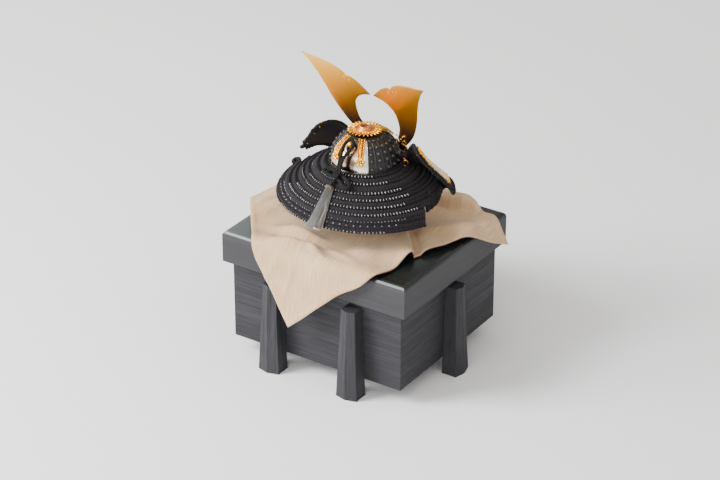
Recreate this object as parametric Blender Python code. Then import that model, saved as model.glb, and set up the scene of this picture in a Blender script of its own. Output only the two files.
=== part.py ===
"""Kabuto, a small display samurai helmet, standing on its six-legged lacquered chest over a silk cloth.

Metres, +Z up. The helmet faces -Y and its wearer's left is +X. The origin is on the floor under the
middle of the chest. Angles round the helmet are measured from the back (+Y), positive towards +X.
"""
import math

import bmesh
import bpy
from mathutils import Vector

# Clearance between pieces that touch
GAP = 0.0003

# Chest
LID_WIDTH = 0.150
LID_DEPTH = 0.1333
LID_HEIGHT = 0.0236
LID_THICKNESS = 0.005
LID_EDGE = 0.0034
BODY_WIDTH = 0.1386
BODY_DEPTH = 0.1236
BODY_WALL = 0.004
LID_PLAY = 0.0005
FLOOR_CLEARANCE = 0.0126

# Chest legs: half widths, depths of the side faces and rise of the front ridge, at foot and top
LEG_HEIGHT = 0.0681
LEG_TO_LID = 0.0044
LEG_OFFSET = 0.0326
LEG_FOOT = {"half": 0.0084, "depth": 0.0114, "ridge": 0.0022}
LEG_TOP = {"half": 0.0055, "depth": 0.0089, "ridge": 0.0020}

# Cloth
CLOTH_THICKNESS = 0.001
CLOTH_COLUMNS = 22
CLOTH_ROWS = 22
CLOTH_TURN = 0.0065
CLOTH_TURN_INSET = 0.0022
CLOTH_PUFF = 0.0060
CLOTH_BOW = 0.0021
CLOTH_BOW_WIDTH = 0.009
CLOTH_HANG = math.radians(81)
CLOTH_LEFT_HANG = math.radians(6)
CLOTH_RIGHT_HANG = math.radians(52)

# Stand post
BASE_RADIUS = 0.015
BASE_HEIGHT = 0.003
POST_RADIUS = 0.004
PAD_RADIUS = 0.007
PAD_HEIGHT = 0.004

# Bowl, its plates, bars and crown
BOWL_RADIUS = 0.0237
BOWL_HEIGHT = 0.0203
BOWL_WALL = 0.0012
BOWL_FOOT_ABOVE_LID = 0.0488
BOWL_COLUMNS = 24
PLATE_COLUMNS = 5
STAR_RADIUS = 0.001
STAR_HEIGHT = 0.0009
PLATE_THICKNESS = 0.0006
BAR_THICKNESS = 0.0009
BAR_HALF_WIDTH = 0.0013
FLOWER_RADIUS = 0.0030
BACK_BAR_ANGLE = math.radians(24.7)
FRONT_BAR_ANGLE = math.radians(28)
PETAL_COUNT = 26
PETAL_RADIUS = 0.0121
PETAL_ROOT_RADIUS = 0.0101
PETAL_THICKNESS = 0.0009
CROWN_SEAT_RADIUS = 0.0095
COLLAR_RADIUS = 0.0064
COLLAR_BORE_RADIUS = 0.0034
COLLAR_HEIGHT = 0.0027

# Ring, bow and tassel on the back
BOSS_RADIUS = 0.00185
BOSS_SHANK_RADIUS = 0.0008
RING_RADIUS = 0.0038
RING_WIRE_RADIUS = 0.00035
RING_DROP = 0.0023
CORD_RADIUS = 0.0009
KNOT_SIDE = 0.0013
KNOT_BEHIND_BAND = 0.0043
BOW_LOOP = 0.0118
KNOT_WIDTH = 0.0046
KNOT_THICKNESS = 0.0034
TASSEL_TOP_SIDE = 0.0034
TASSEL_FOOT_SIDE = 0.0009
TASSEL_BEHIND_BAND = 0.0112
TASSEL_PAST_RIM = 0.0028
TASSEL_TOP_WIDTH = 0.0056
TASSEL_FOOT_WIDTH = 0.0140
TASSEL_THICKNESS = 0.0026

# Neck guard
BAND_HEIGHT = 0.0030
BAND_THICKNESS = 0.0012
NECK_BELOW_FOOT = 0.0026
LAME_THICKNESS = 0.0013
LAME_LAP = 0.0006
NECK_DROP = 0.0252
NECK_DROOP = 1.1
RIM_HALF_WIDTH = 0.0650
RIM_HALF_DEPTH = 0.0648
RIM_CENTRE_Y = -0.0075
UPPER_LAME_END = math.radians(124)
FOURTH_LAME_END = math.radians(120.5)
LOW_LAME_END = math.radians(90)

# Turnbacks and their panels
TURNBACK_THICKNESS = 0.0011
TURNBACK_FOOT_CLEAR = 0.0021
TURNBACK_REACH = 0.0632
TURNBACK_SWEEP = 0.0146
TURNBACK_RISE = 0.0162
TURNBACK_BEND = 0.0225
PANEL_THICKNESS = 0.0006

# Front
VISOR_THICKNESS = 0.0011
VISOR_REACH = 0.0130
VISOR_SLOPE = 0.45
VISOR_HALF_ANGLE = math.radians(46)
MOUNT_HALF_WIDTH = 0.0165
MOUNT_HEIGHT = 0.0105
MOUNT_THICKNESS = 0.0012
HORN_REACH = 0.0485
HORN_LENGTH = 0.0636
HORN_ROOT_HEIGHT = 0.0050
HORN_THICKNESS = 0.0008
HORN_LEAN = 0.405
HORN_CUP = 1.76
HORN_BEFORE_BOWL = 0.0005
HORN_TOE = 0.12
HORN_TOE_HEIGHT = 0.0120

# Eyelets
EYELET_RADIUS = 0.0017
EYELET_WIRE_RADIUS = 0.00035
EYELET_ANGLE = math.radians(112)
BEAD_RADIUS = 0.0011

# Heights and half sizes that follow from the sizes above
LID_BOTTOM_Z = LEG_HEIGHT + LEG_TO_LID
LID_TOP_Z = LID_BOTTOM_Z + LID_HEIGHT
CLOTH_Z = LID_TOP_Z + GAP
POST_FOOT_Z = CLOTH_Z + CLOTH_THICKNESS + GAP
BOWL_FOOT_Z = LID_TOP_Z + BOWL_FOOT_ABOVE_LID
BAND_RADIUS = BOWL_RADIUS + BAND_THICKNESS
HORN_FOOT_Y = -(BOWL_RADIUS + HORN_BEFORE_BOWL)
NECK_TOP_Z = BOWL_FOOT_Z - NECK_BELOW_FOOT
NECK_TOP_RADIUS = BAND_RADIUS + GAP

# Bowl profile, foot to top: share of the height, share of the radius
BOWL_PROFILE = [
    (0.00, 1.000),
    (0.19, 0.985),
    (0.38, 0.945),
    (0.56, 0.875),
    (0.73, 0.770),
    (0.88, 0.630),
    (1.00, 0.440),
]

# Neck lames, top to rim: share of the spread where each starts, then its two ends' angles at head and foot
LAMES = [
    {"start": 0.000, "right": (UPPER_LAME_END, UPPER_LAME_END), "left": (UPPER_LAME_END, UPPER_LAME_END)},
    {"start": 0.140, "right": (UPPER_LAME_END, UPPER_LAME_END), "left": (UPPER_LAME_END, UPPER_LAME_END)},
    {"start": 0.310, "right": (UPPER_LAME_END, UPPER_LAME_END), "left": (UPPER_LAME_END, UPPER_LAME_END)},
    {"start": 0.434, "right": (FOURTH_LAME_END, FOURTH_LAME_END), "left": (FOURTH_LAME_END, FOURTH_LAME_END)},
    {"start": 0.565, "right": (LOW_LAME_END, LOW_LAME_END), "left": (LOW_LAME_END, LOW_LAME_END)},
    {"start": 0.690, "right": (math.radians(80), math.radians(66)), "left": (math.radians(84), math.radians(88))},
]

# Cloth edges as laid flat: share of the lid's width, share of its depth; each runs corner to corner
CLOTH_EDGES = {
    "left": [(0.585, 0.118), (0.445, 0.330), (0.332, 0.497), (0.212, 0.690), (0.074, 0.900)],
    "back": [(0.074, 0.900), (-0.150, 0.665), (-0.342, 0.490), (-0.385, 0.214), (-0.490, -0.050),
             (-0.628, -0.360)],
    "right": [(0.060, -0.900), (-0.120, -0.640), (-0.320, -0.480), (-0.500, -0.415), (-0.628, -0.360)],
    "front": [(0.585, 0.118), (0.520, -0.200), (0.430, -0.480), (0.260, -0.680), (0.060, -0.900)],
}

# Soft bulges of the cloth: centre x and y and radius as shares of the lid's width and depth, and height
# as a share of the cloth's puff
CLOTH_BULGES = [
    {"x": 0.40, "y": 0.14, "radius": 0.107, "height": 0.58},
    {"x": 0.16, "y": 0.40, "radius": 0.113, "height": 0.83},
    {"x": -0.20, "y": 0.36, "radius": 0.093, "height": 0.75},
    {"x": -0.42, "y": -0.14, "radius": 0.113, "height": 1.00},
    {"x": -0.30, "y": -0.40, "radius": 0.067, "height": 0.58},
]

# Horn seen from the front, root to tip: inner edge then outer edge, each as a share of the horn's reach
# to the side and a share of its length
HORN_EDGES = [
    (0.252, 0.008, 0.367, 0.000),
    (0.258, 0.079, 0.458, 0.079),
    (0.305, 0.173, 0.532, 0.157),
    (0.336, 0.252, 0.586, 0.230),
    (0.344, 0.346, 0.629, 0.299),
    (0.326, 0.459, 0.672, 0.381),
    (0.266, 0.539, 0.707, 0.456),
    (0.175, 0.604, 0.728, 0.505),
    (0.049, 0.642, 0.744, 0.553),
    (0.124, 0.712, 0.761, 0.597),
    (0.198, 0.772, 0.784, 0.653),
    (0.295, 0.811, 0.806, 0.703),
    (0.363, 0.816, 0.829, 0.752),
    (0.419, 0.865, 0.856, 0.799),
    (0.526, 0.915, 0.885, 0.846),
    (0.682, 0.951, 0.913, 0.893),
    (0.849, 0.976, 0.957, 0.947),
    (0.981, 1.000, 1.000, 0.992),
]

# Turnback's free back edge, top to tip: shares of its reach to the side, forward and up
TURNBACK_EDGE = [
    (0.609, 0.144, 1.000),
    (0.680, 0.158, 0.722),
    (0.759, 0.267, 0.333),
    (0.911, 0.699, -0.401),
    (1.000, 1.000, -0.883),
]
TURNBACK_FORWARD = Vector((-0.52, -0.84, -0.16))


def rgb(red, green, blue):
    """An sRGB colour of 0 to 255 as linear values."""
    return tuple(((c / 255 + 0.055) / 1.055) ** 2.4 if c > 10 else c / 3294 for c in (red, green, blue))


def principled(name, colour, roughness, metallic=0.0):
    material = bpy.data.materials.new(name)
    material.use_nodes = True
    shader = material.node_tree.nodes["Principled BSDF"]
    shader.inputs["Base Color"].default_value = (*colour, 1.0)
    shader.inputs["Roughness"].default_value = roughness
    shader.inputs["Metallic"].default_value = metallic
    material.diffuse_color = (*colour, 1.0)
    return material


def make_object(name, bm, material, sharp_angle=35):
    """Turn a closed bmesh into a scene object with its faces outward."""
    bmesh.ops.recalc_face_normals(bm, faces=bm.faces)
    mesh = bpy.data.meshes.new(name)
    bm.to_mesh(mesh)
    bm.free()
    mesh.shade_smooth()
    mesh.set_sharp_from_angle(angle=math.radians(sharp_angle))
    mesh.materials.append(material)
    obj = bpy.data.objects.new(name, mesh)
    bpy.context.scene.collection.objects.link(obj)
    return obj


def add_sheet(bm, upper, lower, closed=False):
    """Close the space between two equal grids of points. Closed joins the last column to the first."""
    rows, columns = len(upper), len(upper[0])
    top = [[bm.verts.new(p) for p in row] for row in upper]
    low = [[bm.verts.new(p) for p in row] for row in lower]
    steps = [(c, (c + 1) % columns) for c in range(columns if closed else columns - 1)]
    for c, d in steps:
        for r in range(rows - 1):
            bm.faces.new((top[r][c], top[r][d], top[r + 1][d], top[r + 1][c]))
            bm.faces.new((low[r][c], low[r + 1][c], low[r + 1][d], low[r][d]))
        bm.faces.new((top[0][c], low[0][c], low[0][d], top[0][d]))
        bm.faces.new((top[-1][c], top[-1][d], low[-1][d], low[-1][c]))
    if closed:
        return
    for r in range(rows - 1):
        bm.faces.new((top[r][0], top[r + 1][0], low[r + 1][0], low[r][0]))
        bm.faces.new((top[r][-1], low[r][-1], low[r + 1][-1], top[r + 1][-1]))


def add_turned(bm, profile, segments, place=lambda p: p):
    """Turn a closed profile of (radius, height) about Z. Points at radius 0 become poles."""
    rings = []
    for radius, height in profile:
        if radius < 1e-7:
            rings.append([bm.verts.new(place(Vector((0, 0, height))))])
            continue
        angles = [2 * math.pi * i / segments for i in range(segments)]
        rings.append([bm.verts.new(place(Vector((radius * math.cos(a), radius * math.sin(a), height))))
                      for a in angles])
    for ring, following in zip(rings, rings[1:] + rings[:1]):
        for i in range(segments):
            j = (i + 1) % segments
            corners = [ring[i % len(ring)], ring[j % len(ring)],
                       following[j % len(following)], following[i % len(following)]]
            unique = list(dict.fromkeys(corners))
            if len(unique) > 2:
                bm.faces.new(unique)


def add_tube(bm, points, radius, sides, closed=False, up=Vector((0, 0, 1))):
    """Sweep a round section along points; an open tube has flat caps."""
    count = len(points)
    rings = []
    for i, point in enumerate(points):
        before = points[i - 1] if closed or i else point
        after = points[(i + 1) % count] if closed or i + 1 < count else point
        along = (after - before).normalized()
        across = along.cross(up).normalized()
        over = across.cross(along)
        angles = [2 * math.pi * k / sides for k in range(sides)]
        rings.append([bm.verts.new(point + (across * math.cos(a) + over * math.sin(a)) * radius)
                      for a in angles])
    pairs = list(zip(rings, rings[1:] + rings[:1])) if closed else list(zip(rings, rings[1:]))
    for ring, following in pairs:
        for k in range(sides):
            m = (k + 1) % sides
            bm.faces.new((ring[k], ring[m], following[m], following[k]))
    if not closed:
        bm.faces.new(rings[0])
        bm.faces.new(rings[-1])


def between(a, b, share):
    return a + (b - a) * share


def look_up(table, x):
    """Linear interpolation in a table of (x, y) rows."""
    for (x0, y0), (x1, y1) in zip(table, table[1:]):
        if x <= x1:
            return between(y0, y1, (x - x0) / (x1 - x0))
    return table[-1][1]


def spline(points, share, closed=False):
    """A smooth curve through the points, at a share of its count of spans."""
    count = len(points)
    spans = count if closed else count - 1
    index = min(max(int(share * spans), 0), spans - 1)
    t = share * spans - index
    p1, p2 = Vector(points[index]), Vector(points[(index + 1) % count])
    p0 = Vector(points[index - 1]) if index or closed else p1 * 2 - p2
    p3 = Vector(points[(index + 2) % count]) if index + 2 <= spans or closed else p2 * 2 - p1
    return 0.5 * (p1 * 2 + (p2 - p0) * t + (p0 * 2 - p1 * 5 + p2 * 4 - p3) * t * t
                  + (p1 * 3 - p0 - p2 * 3 + p3) * t ** 3)


def polar(angle, radius, z):
    """A point at an angle from the back."""
    return Vector((radius * math.sin(angle), radius * math.cos(angle), z))


# Chest


def build_chest_body(wood):
    top = LID_TOP_Z - LID_THICKNESS - GAP
    inner = (BODY_WIDTH - 2 * BODY_WALL, BODY_DEPTH - 2 * BODY_WALL)
    bm = bmesh.new()
    add_open_box(bm, (BODY_WIDTH, BODY_DEPTH), inner, FLOOR_CLEARANCE, FLOOR_CLEARANCE + BODY_WALL, top)
    return make_object("chest_body", bm, wood)


def add_open_box(bm, outer_size, inner_size, closed_z, inner_z, open_z):
    """A box open at open_z, whose closed side runs from closed_z to inner_z."""
    def loop(size, z):
        signs = ((1, 1), (-1, 1), (-1, -1), (1, -1))
        return [bm.verts.new((sx * size[0] / 2, sy * size[1] / 2, z)) for sx, sy in signs]

    outside = loop(outer_size, closed_z)
    lip = loop(outer_size, open_z)
    inner_lip = loop(inner_size, open_z)
    inside = loop(inner_size, inner_z)
    for ring, following in ((outside, lip), (lip, inner_lip), (inner_lip, inside)):
        for i in range(4):
            j = (i + 1) % 4
            bm.faces.new((ring[i], ring[j], following[j], following[i]))
    bm.faces.new(outside)
    bm.faces.new(inside)


def build_chest_lid(lacquer):
    inner = (BODY_WIDTH + 2 * LID_PLAY, BODY_DEPTH + 2 * LID_PLAY)
    bm = bmesh.new()
    add_open_box(bm, (LID_WIDTH, LID_DEPTH), inner, LID_TOP_Z, LID_TOP_Z - LID_THICKNESS, LID_BOTTOM_Z)
    rim = [e for e in bm.edges if all(abs(v.co.z - LID_TOP_Z) < 1e-6 for v in e.verts)]
    bmesh.ops.bevel(bm, geom=rim, offset=LID_EDGE, segments=3, profile=0.5, affect="EDGES")
    return make_object("chest_lid", bm, lacquer)


def build_leg(name, wall_distance, offset, turn, wood):
    """A leg with a ridged front, against a wall of the body. Turn 0 faces +Y."""
    bm = bmesh.new()
    rings = []
    for z, size in ((0.0, LEG_FOOT), (LEG_HEIGHT, LEG_TOP)):
        half, depth, ridge = size["half"], size["depth"], size["ridge"]
        section = [(-half, 0), (half, 0), (half, depth), (0, depth + ridge), (-half, depth)]
        rings.append([bm.verts.new((offset + x, wall_distance + GAP + y, z)) for x, y in section])
    for i in range(5):
        j = (i + 1) % 5
        bm.faces.new((rings[0][i], rings[0][j], rings[1][j], rings[1][i]))
    bm.faces.new(rings[0])
    bm.faces.new(rings[1])
    leg = make_object(name, bm, wood, sharp_angle=5)
    leg.rotation_euler.z = turn
    return leg


def build_legs(wood):
    long_side, short_side = BODY_DEPTH / 2, BODY_WIDTH / 2
    quarter = math.pi / 2
    build_leg("chest_leg_back_left", long_side, LEG_OFFSET, 0, wood)
    build_leg("chest_leg_back_right", long_side, -LEG_OFFSET, 0, wood)
    build_leg("chest_leg_right", short_side, 0, quarter, wood)
    build_leg("chest_leg_front_right", long_side, LEG_OFFSET, 2 * quarter, wood)
    build_leg("chest_leg_front_left", long_side, -LEG_OFFSET, 2 * quarter, wood)
    build_leg("chest_leg_left", short_side, 0, 3 * quarter, wood)


# Cloth


def cloth_flat(u, v):
    """Where the cloth lies before it hangs, blended from its four edges."""
    edge = {key: [(x * LID_WIDTH, y * LID_DEPTH, 0) for x, y in rows] for key, rows in CLOTH_EDGES.items()}
    low, high = spline(edge["left"], u), spline(edge["right"], u)
    start, end = spline(edge["front"], v), spline(edge["back"], v)
    corners = between(between(Vector(edge["left"][0]), Vector(edge["left"][-1]), u),
                      between(Vector(edge["right"][0]), Vector(edge["right"][-1]), u), v)
    return between(low, high, v) + between(start, end, u) - corners


def hang(excess, limit):
    """How far out and down the cloth goes past the start of its turn, up to a hanging angle."""
    if excess <= 0:
        return excess, 0.0
    turned = min(excess / CLOTH_TURN, limit)
    rest = excess - turned * CLOTH_TURN
    out = CLOTH_TURN * math.sin(turned) + rest * math.cos(turned)
    down = CLOTH_TURN * (1 - math.cos(turned)) + rest * math.sin(turned)
    return out, down


def cloth_point(u, v):
    flat = cloth_flat(u, v)
    edge_x, edge_y = LID_WIDTH / 2 - CLOTH_TURN_INSET, LID_DEPTH / 2 - CLOTH_TURN_INSET
    side = CLOTH_LEFT_HANG if flat.x > 0 else CLOTH_RIGHT_HANG
    out_x, down_x = hang(abs(flat.x) - edge_x, side)
    out_y, down_y = hang(abs(flat.y) - edge_y, CLOTH_HANG)
    lift = CLOTH_PUFF * sum(b["height"] * math.exp(-((flat.x / LID_WIDTH - b["x"]) ** 2
                                                     + (flat.y / LID_DEPTH - b["y"]) ** 2) / b["radius"] ** 2)
                            for b in CLOTH_BULGES)
    to_edge = min(edge_x - abs(flat.x), edge_y - abs(flat.y))
    lift += CLOTH_BOW * math.exp(-(to_edge / CLOTH_BOW_WIDTH) ** 2)
    return Vector((math.copysign(edge_x + out_x, flat.x), math.copysign(edge_y + out_y, flat.y),
                   CLOTH_Z + lift - down_x - down_y))


def build_cloth(silk):
    step = 1e-3
    lower, upper = [], []
    for r in range(CLOTH_ROWS + 1):
        low_row, top_row = [], []
        for c in range(CLOTH_COLUMNS + 1):
            u, v = r / CLOTH_ROWS, c / CLOTH_COLUMNS
            point = cloth_point(u, v)
            along = cloth_point(u + step, v) - cloth_point(u - step, v)
            across = cloth_point(u, v + step) - cloth_point(u, v - step)
            normal = along.cross(across).normalized()
            if normal.z < 0 or (abs(normal.z) < 0.3 and normal.dot(Vector((point.x, point.y, 0))) < 0):
                normal.negate()
            low_row.append(point)
            top_row.append(point + normal * CLOTH_THICKNESS)
        lower.append(low_row)
        upper.append(top_row)
    bm = bmesh.new()
    add_sheet(bm, upper, lower)
    return make_object("drape_cloth", bm, silk, sharp_angle=60)


# Stand post


def build_post(wood):
    ceiling = BOWL_FOOT_Z + BOWL_HEIGHT - BOWL_WALL - GAP
    profile = [(0, POST_FOOT_Z), (BASE_RADIUS, POST_FOOT_Z), (BASE_RADIUS, POST_FOOT_Z + BASE_HEIGHT),
               (POST_RADIUS, POST_FOOT_Z + BASE_HEIGHT), (POST_RADIUS, ceiling - PAD_HEIGHT),
               (PAD_RADIUS, ceiling - PAD_HEIGHT / 2), (PAD_RADIUS, ceiling), (0, ceiling)]
    bm = bmesh.new()
    add_turned(bm, profile, 16)
    return make_object("stand_post", bm, wood)


# Bowl and what is on it


def bowl_point(angle, level, lift=0.0):
    """A point on the bowl, or lifted off it square to the surface. Level is a share of the height."""
    slope = 0.02
    radius = look_up(BOWL_PROFILE, level) * BOWL_RADIUS
    low, high = max(level - slope, 0), min(level + slope, 1)
    run = (look_up(BOWL_PROFILE, high) - look_up(BOWL_PROFILE, low)) * BOWL_RADIUS
    rise = (high - low) * BOWL_HEIGHT
    length = math.hypot(run, rise)
    return polar(angle, radius + lift * rise / length, BOWL_FOOT_Z + level * BOWL_HEIGHT - lift * run / length)


def is_plate_column(column):
    """The plates cover five columns about the back and five about the front."""
    half = PLATE_COLUMNS // 2
    from_back = min(column, BOWL_COLUMNS - column)
    from_front = abs(column - BOWL_COLUMNS // 2)
    return min(from_back, from_front) <= half


def add_star_cell(bm, corners):
    """Four faces round a square foot and four up to the star's point."""
    centre = sum((v.co for v in corners), Vector()) / 4
    along = ((corners[1].co - corners[0].co) + (corners[2].co - corners[3].co)).normalized()
    up = ((corners[3].co - corners[0].co) + (corners[2].co - corners[1].co)).normalized()
    out = along.cross(up)
    if out.dot(Vector((centre.x, centre.y, 0))) < 0:
        out.negate()
    foot = [bm.verts.new(centre + (along * a + up * b) * STAR_RADIUS)
            for a, b in ((-1, -1), (1, -1), (1, 1), (-1, 1))]
    point = bm.verts.new(centre + out * STAR_HEIGHT)
    for i in range(4):
        j = (i + 1) % 4
        bm.faces.new((corners[i], corners[j], foot[j], foot[i]))
        bm.faces.new((foot[i], foot[j], point))


def build_bowl(lacquer):
    """A hollow bowl of 24 plates with a star rivet in each cell that no silver plate covers."""
    step = 2 * math.pi / BOWL_COLUMNS
    levels = [row[0] for row in BOWL_PROFILE]
    bm = bmesh.new()
    outer = [[bm.verts.new(bowl_point((c - 0.5) * step, h)) for c in range(BOWL_COLUMNS)] for h in levels]
    inner = [[bm.verts.new(bowl_point((c - 0.5) * step, h, -BOWL_WALL)) for c in range(BOWL_COLUMNS)]
             for h in levels]
    for v in inner[0]:
        v.co.z = BOWL_FOOT_Z
    for v in inner[-1]:
        v.co.z = BOWL_FOOT_Z + BOWL_HEIGHT - BOWL_WALL
    for c in range(BOWL_COLUMNS):
        d = (c + 1) % BOWL_COLUMNS
        for r in range(len(levels) - 1):
            corners = (outer[r][c], outer[r][d], outer[r + 1][d], outer[r + 1][c])
            if is_plate_column(c):
                bm.faces.new(corners)
            else:
                add_star_cell(bm, corners)
            bm.faces.new((inner[r][c], inner[r + 1][c], inner[r + 1][d], inner[r][d]))
        bm.faces.new((outer[0][c], inner[0][c], inner[0][d], outer[0][d]))
    bm.faces.new(outer[-1])
    bm.faces.new(inner[-1])
    return make_object("bowl", bm, lacquer)


def build_plate(name, middle, silver):
    """A thin plate over five columns, facet for facet, from the foot up under the crown."""
    step = 2 * math.pi / BOWL_COLUMNS
    angles = [middle + (c - PLATE_COLUMNS / 2) * step for c in range(PLATE_COLUMNS + 1)]
    levels = [row[0] for row in BOWL_PROFILE[:-1]] + [0.97]
    lower = [[bowl_point(a, h, GAP) for a in angles] for h in levels]
    upper = [[bowl_point(a, h, GAP + PLATE_THICKNESS) for a in angles] for h in levels]
    bm = bmesh.new()
    add_sheet(bm, upper, lower)
    return make_object(name, bm, silver)


def build_bar(name, middle, low_level, gold):
    """A bar down a plate, ending in a round flower."""
    floor = 2 * GAP + PLATE_THICKNESS
    high_level = 0.95
    flower_share = 2 * FLOWER_RADIUS / BOWL_HEIGHT
    rows = 13
    lower, upper = [], []
    for r in range(rows):
        level = between(low_level, high_level, r / (rows - 1))
        from_flower = (level - low_level) / flower_share
        half = BAR_HALF_WIDTH
        if from_flower < 1:
            half = max(half, FLOWER_RADIUS * math.sqrt(max(1 - (2 * from_flower - 1) ** 2, 0.04)))
        radius = look_up(BOWL_PROFILE, level) * BOWL_RADIUS
        turns = [middle + s * half / radius for s in (-1, 0, 1)]
        rise = (0.6, 1.25, 0.6)
        lower.append([bowl_point(a, level, floor) for a in turns])
        upper.append([bowl_point(a, level, floor + BAR_THICKNESS * k) for a, k in zip(turns, rise)])
    bm = bmesh.new()
    add_sheet(bm, upper, lower)
    return make_object(name, bm, gold)


CROWN_Z = BOWL_FOOT_Z + BOWL_HEIGHT + PLATE_THICKNESS + 2 * GAP


def build_crown_petals(gold):
    """A disc with pointed petals round its edge, on a round seat that stands on the bowl's flat top."""
    count = 2 * PETAL_COUNT
    dip = 0.0004
    rings = []
    bm = bmesh.new()
    for z in (CROWN_Z, CROWN_Z + PETAL_THICKNESS):
        tips = []
        for i in range(count):
            tip = i % 2 == 0
            radius = PETAL_RADIUS if tip else PETAL_ROOT_RADIUS
            tips.append(bm.verts.new(polar(math.pi * 2 * i / count, radius, z + (dip if tip else 0))))
        rings.append(tips)
    for i in range(count):
        j = (i + 1) % count
        bm.faces.new((rings[0][i], rings[0][j], rings[1][j], rings[1][i]))
    seat = [[bm.verts.new(polar(math.pi * 2 * i / count, CROWN_SEAT_RADIUS, z)) for i in range(count)]
            for z in (CROWN_Z, BOWL_FOOT_Z + BOWL_HEIGHT + GAP)]
    for ring, following in ((rings[0], seat[0]), (seat[0], seat[1])):
        for i in range(count):
            j = (i + 1) % count
            bm.faces.new((ring[i], ring[j], following[j], following[i]))
    bm.faces.new(seat[1])
    middle = bm.verts.new((0, 0, CROWN_Z + PETAL_THICKNESS))
    for i in range(count):
        bm.faces.new((rings[1][i], rings[1][(i + 1) % count], middle))
    return make_object("crown_petals", bm, gold)


def build_crown_collar(gold):
    """A stepped ring round the vent at the top of the helmet."""
    foot = CROWN_Z + PETAL_THICKNESS + GAP
    step = (COLLAR_RADIUS - COLLAR_BORE_RADIUS) / 3
    top = foot + COLLAR_HEIGHT
    profile = [(COLLAR_BORE_RADIUS, foot), (COLLAR_RADIUS, foot), (COLLAR_RADIUS, foot + COLLAR_HEIGHT * 0.35),
               (COLLAR_RADIUS - step, foot + COLLAR_HEIGHT * 0.5),
               (COLLAR_RADIUS - step, foot + COLLAR_HEIGHT * 0.7),
               (COLLAR_RADIUS - 2 * step, top), (COLLAR_BORE_RADIUS, top)]
    bm = bmesh.new()
    add_turned(bm, profile, 24)
    return make_object("crown_collar", bm, gold)


def build_band(lacquer):
    """The base band under the bowl's foot, which the neck guard and the visor hang from."""
    top = BOWL_FOOT_Z - GAP
    bottom = top - BAND_HEIGHT
    inner = BOWL_RADIUS - BOWL_WALL
    profile = [(inner, bottom), (BAND_RADIUS, bottom), (BAND_RADIUS, top), (inner, top)]
    bm = bmesh.new()
    add_turned(bm, profile, 40)
    return make_object("bowl_band", bm, lacquer)


# Ring, bow and tassel


def boss_frame():
    """The place and axes of the boss on the back plate: point, outward, and down the slope."""
    level = 0.80
    point = bowl_point(0, level, 2 * GAP + PLATE_THICKNESS)
    out = (bowl_point(0, level, 0.001) - bowl_point(0, level)).normalized()
    down = Vector((1, 0, 0)).cross(out)
    if down.z > 0:
        down.negate()
    return point, out, down


def build_boss(gold):
    point, out, down = boss_frame()
    side = Vector((1, 0, 0))

    def place(p):
        return point + side * p.x + down * p.y + out * p.z

    profile = [(0, 0), (BOSS_SHANK_RADIUS, 0), (BOSS_SHANK_RADIUS, 0.0016), (BOSS_RADIUS, 0.0018),
               (BOSS_RADIUS * 0.85, 0.0028), (BOSS_RADIUS * 0.45, 0.0034), (0, 0.0036)]
    bm = bmesh.new()
    add_turned(bm, profile, 12, place)
    return make_object("ring_boss", bm, gold)


def build_ring(gold):
    point, out, down = boss_frame()
    centre = point + down * RING_DROP + out * (RING_WIRE_RADIUS + 2 * GAP)
    side = Vector((1, 0, 0))
    turns = [2 * math.pi * i / 20 for i in range(20)]
    loop = [centre + (side * math.cos(a) + down * math.sin(a)) * RING_RADIUS for a in turns]
    bm = bmesh.new()
    add_tube(bm, loop, RING_WIRE_RADIUS, 6, closed=True, up=out)
    return make_object("ring", bm, gold)


# Neck guard


def neck_point(share, angle, lift=0.0):
    """A point on the neck guard. Share runs from the band (0) to the rim (1)."""
    half_width = between(NECK_TOP_RADIUS, RIM_HALF_WIDTH, share)
    half_depth = between(NECK_TOP_RADIUS, RIM_HALF_DEPTH, share)
    drop = NECK_DROP * share ** NECK_DROOP
    fall = NECK_DROP * NECK_DROOP * max(share, 0.02) ** (NECK_DROOP - 1)
    spread = RIM_HALF_WIDTH - NECK_TOP_RADIUS
    length = math.hypot(fall, spread)
    reach, rise = lift * fall / length, lift * spread / length
    return Vector(((half_width + reach) * math.sin(angle),
                   RIM_CENTRE_Y * share + (half_depth + reach) * math.cos(angle),
                   NECK_TOP_Z - drop + rise))


def build_lame(index, lacing):
    """One lame: its head lies over the foot of the lame above."""
    start = LAMES[index]["start"]
    last = index + 1 == len(LAMES)
    spread = RIM_HALF_WIDTH - NECK_TOP_RADIUS
    end = 1.0 if last else LAMES[index + 1]["start"] + LAME_LAP / spread
    right, left = LAMES[index]["right"], LAMES[index]["left"]
    step = LAME_THICKNESS + 2 * GAP
    rows = 4 if last else 2
    columns = 40 if left[0] > LOW_LAME_END else 32
    lower, upper = [], []
    for r in range(rows):
        share = between(start, end, r / (rows - 1))
        floor = step * (1 - r / (rows - 1))
        low, high = -between(right[0], right[1], r / (rows - 1)), between(left[0], left[1], r / (rows - 1))
        angles = [between(low, high, c / columns) for c in range(columns + 1)]
        lower.append([neck_point(share, a, floor) for a in angles])
        upper.append([neck_point(share, a, floor + LAME_THICKNESS) for a in angles])
    bm = bmesh.new()
    add_sheet(bm, upper, lower)
    return make_object(f"neck_lame_{index + 1}", bm, lacing)


# Bow and tassel


def on_neck(x, y, lift):
    """The point of the neck guard over or under a place, lifted."""
    share = 0.0
    for _ in range(40):
        point = neck_point(share, math.atan2(x, y - RIM_CENTRE_Y * share), 0)
        share += (math.hypot(x, y) - math.hypot(point.x, point.y)) / (RIM_HALF_WIDTH - NECK_TOP_RADIUS)
    return neck_point(share, math.atan2(x, y - RIM_CENTRE_Y * share), lift)


LAME_TOP_LIFT = 2 * LAME_THICKNESS + 3 * GAP


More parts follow.
